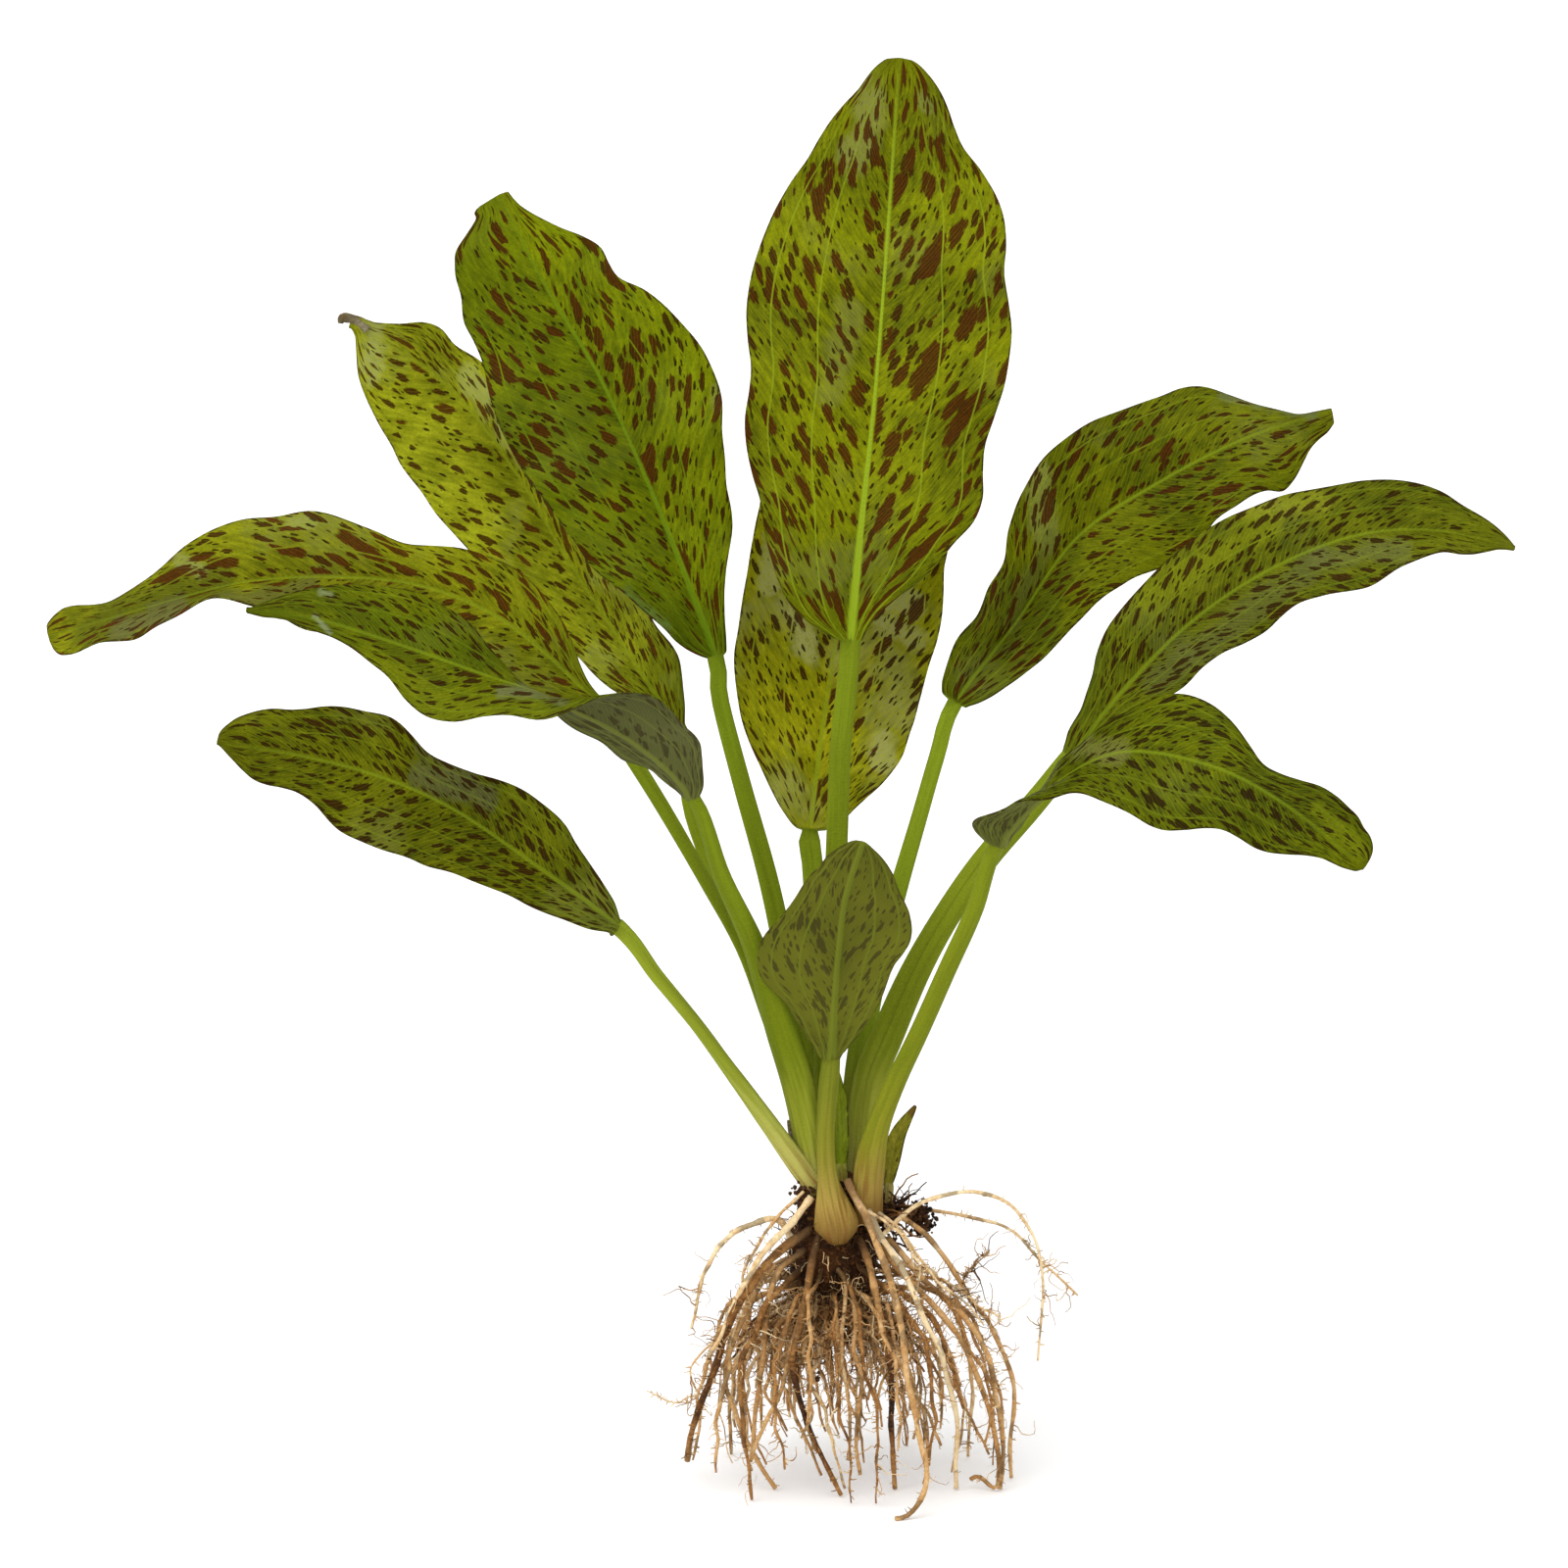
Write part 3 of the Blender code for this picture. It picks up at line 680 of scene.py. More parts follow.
@dataclass(frozen=True)
class EarthFinish:
    """Crown bark and crumbs of earth: dark and light tones in clouds and specks."""

    name: str
    dark: Colour
    light: Colour
    fleck: Colour
    broad: float = 160.0
    fine: float = 900.0
    bump: float = 0.0005

    def build(self, effects: Effects) -> bpy.types.Material:
        """Make the material.

        Args:
            effects: The shared node groups.

        Returns:
            The material.
        """
        material, graph, shader = new_material(self.name)
        clouds = graph.place_group(effects.mottle, {"Vector": graph.object_place(), "Broad": self.broad,
                                                    "Fine": self.fine}).outputs
        colour = graph.mix(clouds["Cloud"], self.dark, self.light)
        colour = graph.mix(graph.times(graph.step(clouds["Speck"], 0.6, 0.95), 0.6), colour, self.fleck)
        graph.feed(shader.inputs["Base Color"], colour)
        graph.feed(shader.inputs["Roughness"], graph.math("MULTIPLY_ADD", clouds["Speck"], 0.25, 0.7))
        bump = graph.node("ShaderNodeBump", {"Strength": 0.8, "Distance": self.bump,
                                             "Height": clouds["Speck"]})
        graph.feed(shader.inputs["Normal"], bump.outputs["Normal"])
        shader.inputs["Specular IOR Level"].default_value = 0.1
        return material


# ---------------------------------------------------------------- leaves

class BladeSide(Enum):
    """Half of a blade, seen with its upper face to the front."""

    LEFT = -1
    RIGHT = 1


@dataclass(frozen=True)
class Dent:
    """Place where a blade's margin is bitten or curled.

    depth narrows the blade and curl lifts its margin towards the upper face, both in millimetres.
    """

    side: BladeSide
    place: float
    breadth: float
    depth: float = 0.0
    curl: float = 0.0


# Columns across half a blade, from the midrib out. Some stay a set distance from a rib or margin.
MIDRIB_COLUMNS = ((0.0, 0.0), (0.35, 0.05), (0.7, 0.1), (1.1, 0.16), (1.7, 0.24))
LATERAL_PLACES = (0.47, 0.82)
OPEN_COLUMNS = ((0.29, 0.32, 0.35, 0.38, 0.42), (0.54, 0.6, 0.66, 0.72), (0.88, 0.92, 0.955))
MARGIN_COLUMNS = ((0.5, 0.035), (0.25, 0.02), (0.09, 0.008), (0.0, 0.0))
# Side veins: the cosine of their lean from the midrib, and how far their rows run back per width.
VEIN_LEAN = math.cos(math.radians(50))
VEIN_SLANT = 1.19
# Fine ripples of a blade: how far apart they are, over what length they drift, and their height.
RIPPLE_GAP = 7.3
RIPPLE_DRIFT = 61.0
RIPPLE_HEIGHT = 0.12


def half_columns(widths: np.ndarray) -> np.ndarray:
    """Shares of the half-width at which the columns of half a blade lie.

    Args:
        widths: Half-width of each ring.

    Returns:
        Rings by columns, from 0 at the midrib to 1 at the margin.
    """
    wide = np.maximum(widths, 0.2)[:, None]
    rib = np.concatenate([np.minimum(size / wide, share) for size, share in MIDRIB_COLUMNS], axis=1)
    inner = rib[:, -1:]
    first = inner + (LATERAL_PLACES[0] - 0.03 - inner) * np.linspace(0.2, 0.88, len(OPEN_COLUMNS[0]))[None, :]
    parts = [rib, first]
    for place, after in zip(LATERAL_PLACES, OPEN_COLUMNS[1:]):
        near = np.minimum(0.4 / wide, 0.02)
        parts += [place - near, np.full_like(wide, place), place + near]
        parts += [np.full_like(wide, share) for share in after]
    parts += [1 - np.minimum(size / wide, share) for size, share in MARGIN_COLUMNS]
    return np.concatenate(parts, axis=1)


@dataclass
class Leaf:
    """One leaf in one skin: stalk, midrib, lateral veins and blade.

    stalk and blade are points. The half-widths left and right, and turn and fold, are read at cosine
    stations of the blade, which lie closest at its ends. The turn swings the upper face away from
    the front, in degrees, and the fold lifts both halves towards that face. stalk_half has
    half-widths from the crown to the blade.
    """

    name: str
    stalk: tuple
    blade: tuple
    left: tuple
    right: tuple
    turn: tuple
    fold: tuple
    base_turn: float
    stalk_half: tuple
    finish: BladeFinish
    slot: str = "blade_olive"
    dents: tuple = ()
    ruffle: float = 1.2
    wave: float = 34.0
    bow: float = 0.17
    ribs_raised: float = 1.0
    thin: float = 0.24
    rings: tuple[int, int] = (36, 132)

    def build(self, effects: Effects) -> bpy.types.Object:
        """Model the leaf and dress it.

        Args:
            effects: The shared node groups.

        Returns:
            The finished piece.
        """
        points, attributes = self._skin()
        piece = unrolled_skin(f"{self.name}_skin", points, attributes)
        finish_piece(piece, self.finish.build(effects), self.slot, self.name)
        return piece

    def _marks(self) -> tuple[np.ndarray, np.ndarray, np.ndarray]:
        """Centre of each ring, its mark (-1 to 0 on the stalk, 0 to 1 over the stations), and its reach.

        Returns:
            Centres, marks, and millimetres along the blade from its base.
        """
        whole = self.stalk + self.blade
        split = chain_length(self.stalk + self.blade[:1]) / chain_length(whole)
        stalk = np.arange(self.rings[0]) / self.rings[0]
        even = np.linspace(0, 1, self.rings[1])
        share = 0.3 * even + 0.7 * (1 - np.cos(np.pi * even)) / 2
        centres = even_route(whole, np.concatenate((split * stalk, split + (1 - split) * share)))
        marks = np.concatenate((stalk - 1, np.arccos(1 - 2 * share) / np.pi))
        length = chain_length(centres[self.rings[0]:])
        stalk_length = chain_length(centres[:self.rings[0] + 1])
        return centres, marks, np.concatenate(((stalk - 1) * stalk_length, share * length))

    def _ring_values(self, marks: np.ndarray) -> dict[str, np.ndarray]:
        """Half-widths, turn and fold in radians at each mark."""
        on_stalk, on_blade = np.clip(marks + 1, 0, 1), np.clip(marks, 0, 1)
        stem = marks < 0

        def read(values: tuple, place: np.ndarray) -> np.ndarray:
            """Values spread evenly over the places from 0 to 1."""
            return spline(values, place * (len(values) - 1))

        stalk_half = read(self.stalk_half, on_stalk)
        turn = np.where(stem, self.base_turn + (self.turn[0] - self.base_turn) * on_stalk,
                        read(self.turn, on_blade))
        return {
            "left": np.maximum(np.where(stem, stalk_half, read(self.left, on_blade)), 0.25),
            "right": np.maximum(np.where(stem, stalk_half, read(self.right, on_blade)), 0.25),
            "turn": np.radians(turn),
            "fold": np.radians(np.where(stem, self.fold[0], read(self.fold, on_blade))),
        }

    def _skin(self) -> tuple[np.ndarray, dict[str, np.ndarray]]:
        """Points of the closed skin, upper face then lower, and what the material reads there."""
        centres, marks, reach = self._marks()
        values = self._ring_values(marks)
        along = unit(np.gradient(centres, axis=0))
        side = unit(np.cross(along, FRONT))
        face = np.cross(side, along)
        narrow = np.minimum(values["left"], values["right"])
        flat = smooth_step(marks, 0.0, 0.13) * smooth_step(narrow, 0.8, 3.0)
        halves = {half: self._half(half, centres, marks, reach, values, side, face, flat)
                  for half in BladeSide}
        left, right = halves[BladeSide.LEFT], halves[BladeSide.RIGHT]
        names = ("grain", "ribs")
        points = np.concatenate((left["upper"][:, ::-1], right["upper"][:, 1:], right["lower"][:, -2::-1],
                                 left["lower"][:, 1:]), axis=1)
        attributes = {name: np.concatenate((left[name][:, ::-1], right[name][:, 1:], right[name][:, -2::-1],
                                            left[name][:, 1:]), axis=1) for name in names}
        columns = left["upper"].shape[1]
        under = np.concatenate((np.zeros(2 * columns - 1), np.ones(2 * columns - 2)))
        under = np.broadcast_to(under, points.shape[:2])
        mark = np.broadcast_to(marks[:, None], points.shape[:2])
        on_right = (attributes["grain"][..., 2] > 0).astype(float)
        attributes["place"] = np.stack((mark, under, on_right), axis=-1)
        return points, attributes

    def _half(self, half: BladeSide, centres, marks, reach, values, side, face,
              flat) -> dict[str, np.ndarray]:
        """Upper and lower points of one half of the leaf, with their grain and distances from ribs."""
        sign = half.value
        wide = values["left" if half is BladeSide.LEFT else "right"].copy()
        curl = np.zeros_like(wide)
        length = reach[-1]
        for dent in self.dents:
            if dent.side is half:
                near = np.exp(-((reach - dent.place * length) / dent.breadth) ** 2)
                wide -= dent.depth * near
                curl += dent.curl * near
        wide = np.maximum(wide, 0.25)
        columns = half_columns(wide)
        rounded = np.sin(np.linspace(0, np.pi / 2, columns.shape[1]))[None, :]
        out = rounded + (columns - rounded) * flat[:, None]
        distance = out * wide[:, None]
        lift = (values["fold"] + values["turn"] * sign)[:, None, None]
        arm = side[:, None] * np.cos(lift) * sign + face[:, None] * np.sin(lift)
        spot = centres[:, None] + arm * distance[..., None]
        turned = values["turn"][:, None] + values["fold"][:, None] * sign * smooth_step(out, 0.0, 0.16)
        normal = face[:, None] * np.cos(turned)[..., None] - side[:, None] * np.sin(turned)[..., None]
        shift = self._shift(half, out, wide, reach, marks, curl) * flat[:, None]
        top, bottom = self._thickness(out, distance, wide, marks, flat)
        widest = max(self.left + self.right)
        blade_row = (reach[:, None] - VEIN_SLANT * widest * out ** 1.15) * VEIN_LEAN
        stalk_row = np.broadcast_to(reach[:, None], out.shape)
        on_blade = (marks >= 0)[:, None]
        grain = np.stack((np.where(on_blade, blade_row, stalk_row),
                          np.where(on_blade, out * widest / VEIN_LEAN, distance),
                          np.full_like(out, 40.0 * sign)), axis=-1)
        lateral = np.min([np.abs(out - place) for place in LATERAL_PLACES], axis=0) * wide[:, None]
        return {
            "upper": spot + normal * (shift + top)[..., None],
            "lower": spot + normal * (shift - bottom)[..., None],
            "grain": grain,
            "ribs": np.stack((distance, lateral, wide[:, None] - distance), axis=-1),
        }

    def _shift(self, half: BladeSide, out, wide, reach, marks, curl) -> np.ndarray:
        """How far a point of the blade stands off the flat half: bow, ruffle, ripples and curls."""
        rng = np.random.default_rng([SEED, sum(map(ord, self.name)), half.value + 1])
        phase = rng.uniform(0, math.tau, 4)
        run = reach[:, None]
        swell = (np.sin(math.tau * run / self.wave + phase[0])
                 + 0.5 * np.sin(math.tau * run / (self.wave * 0.43) + phase[1]))
        ends = np.sqrt(np.clip(np.sin(np.pi * np.clip(marks, 0, 1)), 0, 1))[:, None]
        slanted = run - wide[:, None] * out
        drift = 1.7 * np.sin(math.tau * run / RIPPLE_DRIFT + phase[3])
        ripple = np.sin(math.tau * slanted / RIPPLE_GAP + phase[2] + drift)
        quilt = np.sin(np.pi * np.clip(out / LATERAL_PLACES[0], 0, 1)) + 0.6 * np.sin(
            np.pi * np.clip((out - LATERAL_PLACES[0]) / (LATERAL_PLACES[1] - LATERAL_PLACES[0]), 0, 1))
        return (self.bow * wide[:, None] * out * (1 - out) + self.ruffle * out ** 2.2 * swell * ends
                + RIPPLE_HEIGHT * quilt * ripple * ends + curl[:, None] * out ** 2.4)

    def _thickness(self, out, distance, wide, marks, flat) -> tuple[np.ndarray, np.ndarray]:
        """How far the upper and the lower face stand from the middle of the leaf."""
        stalk = np.clip(0.6 * wide, 0.8, 2.6) * np.interp(marks, (0.0, 0.05, 0.2, 1.0), (1.0, 0.8, 0.4, 0.15))
        oval = stalk[:, None] * np.sqrt(np.clip(1 - out ** 2, 0, 1))
        ribbed = 1 + 0.02 * np.cos(math.tau * 3.5 * out)
        edge = np.sqrt(np.clip(1 - (1 - np.clip((wide[:, None] - distance) / self.thin, 0, 1)) ** 2, 0, 1))
        taper = np.clip(1 - marks, 0, 1)[:, None]
        rib_wide = 0.45 + 1.5 * taper ** 1.6
        rib = np.exp(-(distance / rib_wide) ** 2)
        laterals = sum(np.exp(-((out - place) * wide[:, None] / 0.34) ** 2) for place in LATERAL_PLACES)
        upper = self.thin * edge + self.ribs_raised * (0.16 * rib + 0.09 * laterals)
        lower = self.thin * edge + self.ribs_raised * ((0.25 + 1.0 * taper ** 1.5) * rib + 0.2 * laterals)
        weight = flat[:, None]
        return oval * ribbed * (1 - weight) + upper * weight, oval * ribbed * (1 - weight) + lower * weight


# Each leaf's dark and light tones are partly painted shade and painted light: leaves that face down are given
# darker tones, leaves that face up lighter ones. Patches paint sheen, highlights and shade where they are
# seen from the front.
LEAVES = (
    Leaf(
        "leaf_tall",
        stalk=((-4.6, 0.2, 63.5), (-4.5, 2, 99), (-3.6, 5, 128), (-2, 9.5, 151), (-1, 13, 177), (1, 16, 197)),
        blade=((1.5, 17, 204), (4, 22, 231), (7.5, 30, 263), (10, 38, 293), (12, 44, 321), (13.5, 47, 343)),
        left=(2.6, 4.5, 6.5, 9.8, 13.4, 16.3, 18.7, 20.6, 22.4, 23.9, 25.3, 27.6, 29.8, 30.9, 30.7, 30.7, 32,
              32.8, 32.5, 31.3, 29.5, 27.2, 24.3, 20.7, 18.2, 15.6, 12.6, 9.7, 7.9, 6.3, 4.6, 3, 0.5),
        right=(2.6, 3, 3.4, 4.1, 5.5, 7.7, 11, 15.8, 19.6, 22.8, 27, 28.6, 28, 27.8, 29.3, 31, 31.7,
               31.8, 30.6, 28.9, 28.9, 28, 25.7, 21.9, 17, 14.6, 12.9, 11, 8.9, 6.8, 4.9, 3, 0.5),
        turn=(0,) * 9, fold=(20, 14, 8, 4, 2, 0, 0, -4, -6), base_turn=0,
        stalk_half=(3.4, 3.1, 2.8, 2.7, 2.6),
        finish=BladeFinish("blade_tall", vein_share=0.95, rib_base=2.2,
                           patches=(Patch((7.3, 334), (2.5, 319), 4.8, 0.8),
                                    Patch((20.5, 331), (19, 334), 2, 0.6),
                                    Patch((-4, 262), (2, 282), 4.5, 0.4))),
        dents=(Dent(BladeSide.RIGHT, 0.86, 5, 0, 2.2), Dent(BladeSide.RIGHT, 0.66, 9, 0, 2.4),
               Dent(BladeSide.RIGHT, 0.22, 10, 0, -2.2), Dent(BladeSide.LEFT, 0.4, 9, 0, 2.0))),
    Leaf(
        "leaf_back",
        stalk=((-2.4, 9.2, 63.5), (-4, 16, 101), (-6.6, 25, 129), (-7.6, 31, 147)),
        blade=((-8.2, 33, 155), (-5, 42, 180), (-1, 52, 205), (2, 61, 229), (4, 67, 247), (5, 71, 263)),
        left=(2, 3.5, 4.9, 6.4, 8.1, 9.7, 11.5, 13.6, 16, 18.2, 20.4, 22.4, 23.8, 24.6, 24.5, 24.3, 24.3,
              24.1, 23.9, 23.6, 22.9, 22.5, 20, 17.1, 15, 12.8, 10.5, 8.1, 6.1, 4.4, 3, 1.8, 0.5),
        right=(2, 4, 6.5, 8.1, 9.3, 10.9, 13.2, 16.1, 18.5, 20.4, 21.4, 22.4, 22.8, 23.3, 23.9, 24.8, 25.3,
               25, 24.5, 24.8, 22.9, 20.3, 17.9, 15.4, 13, 10.6, 8.2, 5.9, 4.1, 2.8, 1.9, 1.2, 0.5),
        turn=(0,) * 9, fold=(18, 12, 8, 6, 6, 4, 0, 0, 0), base_turn=5,
        stalk_half=(2.6, 2.4, 2.4, 2.8), slot="blade_yellow",
        finish=BladeFinish("blade_back", dark=(122, 122, 2), light=(148, 146, 14), bloom_and_sheen=(172, 172, 100),
                           base_shade=0.1, bloom_and_sheen_share=0.5, filled=(0.1, 0.35, 0.5, 0.4), seed=3.1,
                           patches=(Patch((-17, 223), (-18.5, 214), 3.8, 0.85),
                                    Patch((-12, 206), (-8, 197), 3.8, 0.85),
                                    Patch((9.5, 213), (17, 208), 4.4, 0.85),
                                    Patch((9.6, 204), (18, 200), 3.8, 0.8),
                                    Patch((9.7, 177), (9.5, 172), 4, 0.8)))),
    Leaf(
        "leaf_high_left",
        stalk=((-5.4, 3.8, 63.5), (-8, 9, 94), (-13, 15, 119), (-18.3, 20.5, 144), (-25, 25, 168),
               (-30.3, 30, 188)),
        blade=((-31.4, 33, 198), (-40, 36, 221), (-49, 38, 243), (-59.5, 40, 266), (-72, 42, 287),
               (-84, 44, 310)),
        left=(2.2, 2.4, 3.6, 5.1, 7, 9, 10.5, 12.2, 14.1, 16.3, 18.9, 20.9, 22.3, 23.6, 24.8, 26.2, 27,
              27.4, 27.3, 26.5, 24.9, 23, 22.2, 22.3, 21.1, 19.4, 17.5, 15.6, 11.2, 7.8, 7.4, 5.4, 0.5),
        right=(2.2, 3, 3.3, 3.7, 4.4, 5.3, 6.4, 7.8, 10, 12.6, 15, 16.6, 17.8, 20, 22.4, 24.9, 25.9, 25.9,
               24.9, 23.6, 20.9, 17.2, 16.4, 16, 13.5, 10, 7.2, 5, 3.5, 2.8, 2.5, 2.2, 0.5),
        turn=(-10, -8, -6, -4, 0, 4, 4, 0, 0), fold=(24, 20, 14, 10, 8, 6, 0, -6, -8), base_turn=-25,
        stalk_half=(2.8, 2.8, 2.7, 2.4, 2.2), ruffle=1.6,
        finish=BladeFinish("blade_high_left", dark=(86, 95, 0), light=(110, 119, 2), vein=(106, 138, 20),
                           base_shade=0.4, bloom_and_sheen_share=0.1, vein_share=0.5, rib_base=2.0, left_shade=0.3,
                           filled=(0.2, 0.5, 0.55, 0.35), seed=6.3,
                           patches=(Patch((-53, 212.5), (-45, 205), 3.4, 0.7, (92, 112, 52)),
                                    Patch((-31.3, 264), (-30, 260), 2.4, 0.7))),
        dents=(Dent(BladeSide.RIGHT, 0.6, 6, 0, 2.0), Dent(BladeSide.LEFT, 0.86, 4, 1.2, 1.5),
               Dent(BladeSide.LEFT, 0.6, 8, 0, 1.8))),
    Leaf(
        "leaf_far_left",
        stalk=((-6, 6.6, 64), (-11.4, 13.5, 95), (-18.7, 20, 115), (-27.3, 28, 134), (-36.8, 37.5, 157)),
        blade=((-41, 46, 177), (-55, 55, 199), (-69, 62, 220), (-82, 67, 241), (-99, 70, 262),
               (-122, 68, 277)),
        left=(2, 2.5, 3, 3.5, 4, 4.5, 5.3, 7, 8.9, 10.2, 11.2, 12.4, 14, 15.7, 17.4, 18.9, 20.4, 21.6, 22.3,
              22.2, 22.5, 22.3, 21.2, 19.9, 18.3, 16.1, 13.4, 10.2, 6, 2.7, 1.5, 1.5, 0.5),
        right=(2, 3, 2.9, 3.5, 4.8, 6.4, 8.4, 10.5, 11.8, 12.4, 12.6, 12.7, 13.1, 13.9, 15, 16.1, 17, 17.6,
               18, 18.1, 17.3, 14.6, 11.6, 10.4, 11.8, 10.7, 8.2, 6.2, 4.2, 3.2, 2.4, 1.4, 0.5),
        turn=(0, 0, 10, 20, 20, 18, 16, 14, 14), fold=(15, 12, 14, 20, 24, 20, 14, 12, 12), base_turn=-40,
        stalk_half=(2.6, 2.1, 2.0, 2.0), ruffle=1.4,
        finish=BladeFinish("blade_far_left", dark=(116, 120, 4), light=(142, 146, 22), bloom_and_sheen=(166, 170, 92),
                           base_shade=0.45, bloom_and_sheen_share=0.4, vein_share=0.3, blotch=(84, 42, 4),
                           filled=(0.0, 0.2, 0.7, 0.35), seed=9.7,
                           patches=(Patch((-116, 277), (-117, 265), 4, 0.8),
                                    Patch((-93, 264), (-76, 242), 4, 0.7)))),
    Leaf(
        "leaf_arch_left",
        stalk=((-7, 1.9, 64), (-11.8, 2.2, 95), (-18, 2, 112), (-24.7, 1, 131), (-33.4, -2, 148),
               (-42.7, -5, 165), (-51, -7, 179)),
        blade=((-60, -8, 193), (-80, -12, 212), (-100, -16, 221.5), (-121, -19, 224), (-141, -22, 223),
               (-162, -25, 218), (-187, -28, 211)),
        left=(2.2, 3, 4.6, 6.8, 9.4, 11.6, 13.2, 14.3, 15, 15.4, 15.6, 15.6, 15.4, 15.2, 15.5, 16.6, 17.8,
              17.8, 17.7, 16.4, 15.2, 14, 11.4, 10.5, 10.2, 7.7, 6.5, 6.6, 6.6, 6.1, 5.3, 3.4, 1.2),
        right=(2.2, 2.1, 2.1, 2.2, 2.7, 4.1, 6.2, 8.2, 10, 11.4, 12.2, 12.2, 11.8, 10.6, 9.9, 12, 14.6, 16.1,
               15.6, 15.6, 14.5, 12.1, 9.3, 7.1, 5.4, 4.5, 4.9, 5.6, 5.7, 4.9, 3.9, 2.9, 1.2),
        turn=(-40, -35, -30, -28, -32, -52, -42, -32, -30), fold=(20, 12, 8, 6, 10, 32, 22, 6, 4),
        base_turn=-75, stalk_half=(2.4, 2.1, 2.0, 2.1, 2.2), ruffle=1.0,
        finish=BladeFinish("blade_arch_left", dark=(96, 98, 2), light=(122, 124, 12), bloom_and_sheen=(146, 150, 76),
                           bloom_and_sheen_share=0.35, vein_share=0.35, blotch=(80, 34, 4),
                           filled=(0.08, 0.35, 0.65, 0.4), seed=12.9,
                           patches=(Patch((-178, 213), (-148, 223), 6, 0.75, (86, 90, 16)),
                                    Patch((-130.4, 236.7), (-126, 236.5), 2.4, 0.8),
                                    Patch((-156, 228.5), (-152, 226), 2.2, 0.8),
                                    Patch((-146, 220), (-126, 222), 2.8, 0.7, (94, 93, 42)),
                                    Patch((-170, 213.5), (-156, 218), 3, 0.8, (96, 94, 54))))),
    Leaf(
        "leaf_twist_left",
        stalk=((-6.4, -3.4, 65), (-10.3, -6.5, 94), (-15.7, -10, 114), (-22, -14.5, 135),
               (-29.5, -20.5, 153)),
        blade=((-36, -26, 172.5), (-49, -32, 186.5), (-67, -40, 197.5), (-83, -45, 204),
               (-105, -48, 212.5), (-123, -48, 218), (-139, -46, 220)),
        left=(2.2, 2.5, 3.7, 5.5, 7.6, 10, 13, 16.4, 18.2, 18.4, 18.2, 17.8, 17.4, 16.8, 14.2, 10.8, 11.2,
              13.8, 14.2, 11.7, 8.1, 6.1, 4.3, 3.3, 2.9, 2.3, 1.5, 1.3, 1.4, 1.2, 1, 0.9, 0.5),
        right=(2.2, 3.1, 4.9, 6.6, 7.2, 7.3, 6.8, 7, 7.8, 7.2, 6.5, 6.6, 7.3, 7.4, 7.6, 8.7, 10, 11.3, 12.6,
               13.6, 13.8, 13.2, 11.8, 10.1, 8.5, 6.9, 5.3, 3.8, 2.5, 1.5, 0.7, 0.6, 0.5),
        turn=(-124, -128, -132, -130, -52, -22, -18, -20, -20), fold=(10, 6, 0, -6, -8, -8, -6, 0, 0),
        base_turn=-155, stalk_half=(1.8, 4.0, 4.5, 3.6, 2.8, 2.3), ruffle=0.8,
        finish=BladeFinish("blade_twist_left", dark=(66, 76, 0), light=(92, 98, 2), vein_share=0.35,
                           blotch=(56, 28, 2), under=(86, 88, 46), filled=(0.0, 0.15, 0.7, 0.45), seed=16.1,
                           patches=(Patch((-114, 219), (-84, 208), 5, 0.5, (60, 78, 2)),
                                    Patch((-112, 207), (-76, 189), 5, 0.5, (112, 118, 8)),
                                    Patch((-116, 220), (-94, 204), 2.6, 0.6, (66, 72, 2)),
                                    Patch((-80, 201), (-66, 200), 1.8, 0.6, (106, 108, 78)),
                                    Patch((-121.5, 224), (-119.5, 223.5), 1.2, 0.7, (126, 134, 96)),
                                    Patch((-123, 218.6), (-119.5, 215), 1, 0.7, (132, 140, 104))))),
    Leaf(
        "leaf_low_left",
        stalk=((-6.5, -5, 73), (-11, -6, 79), (-18.3, -7.4, 89.9), (-27.1, -12, 103.6), (-35.2, -17, 115.9),
               (-44.8, -24, 129.3)),
        blade=((-54, -30, 142.5), (-75, -40, 160.5), (-92, -47, 173.5), (-108, -54, 182),
               (-125, -62, 188), (-144, -70, 192.5)),
        left=(2.2, 3.2, 3, 3.5, 4.4, 5.3, 6, 6.8, 7.7, 8.5, 9.4, 10.3, 11.3, 12.4, 13.4, 14.6, 15.4, 16, 16.4,
              16.3, 15.3, 13.1, 10.6, 8.7, 8.2, 8.2, 7.5, 5.6, 3.5, 2, 1, 0.6, 0.5),
        right=(2.2, 1.9, 2.2, 3, 4.1, 5, 6, 7.3, 8.9, 10.4, 11.9, 12.7, 12.9, 12.7, 11.8, 10.2, 9.1, 9.5,
               12, 14.3, 14.3, 14, 13.1, 11.6, 10.4, 9.8, 8.9, 7.7, 6.4, 4.8, 3.4, 2, 0.5),
        turn=(-40, -30, -26, -24, -28, -26, -24, -22, -20), fold=(14, 10, 6, 4, 0, -2, -4, -4, -4),
        base_turn=-150, stalk_half=(3.2, 3.2, 3.1, 2.7, 2.4, 2.2, 2.2), ruffle=1.0,
        finish=BladeFinish("blade_low_left", dark=(68, 72, 0), light=(94, 96, 4), vein_share=0.35,
                           blotch=(52, 24, 2), stalk=(136, 146, 40), pale=(168, 168, 80),
                           sheath=(176, 166, 92), filled=(0.0, 0.12, 0.85, 0.7), sheath_top=0.074, seed=19.3,
                           patches=(Patch((-99, 188), (-88, 180.5), 2.2, 0.5, (92, 90, 52)),
                                    Patch((-99, 182), (-84, 175.5), 3.6, 0.5, (86, 84, 60)),
                                    Patch((-78, 177), (-62, 165), 3.5, 0.5, (104, 110, 12)))),
        dents=(Dent(BladeSide.RIGHT, 0.5, 8, 0, 1.8), Dent(BladeSide.LEFT, 0.78, 7, 0, 1.5))),
    Leaf(
        "leaf_front",
        stalk=((-1.6, -11.2, 61.6), (-1.9, -11.6, 66), (-3.3, -11.2, 73), (-4.3, -11.2, 80),
               (-4.6, -11.3, 89), (-4, -12.5, 99)),
        blade=((-3.3, -14, 107.5), (-2.5, -18, 122.5), (-1.6, -22, 135.5), (0, -26, 149), (4, -31, 163)),
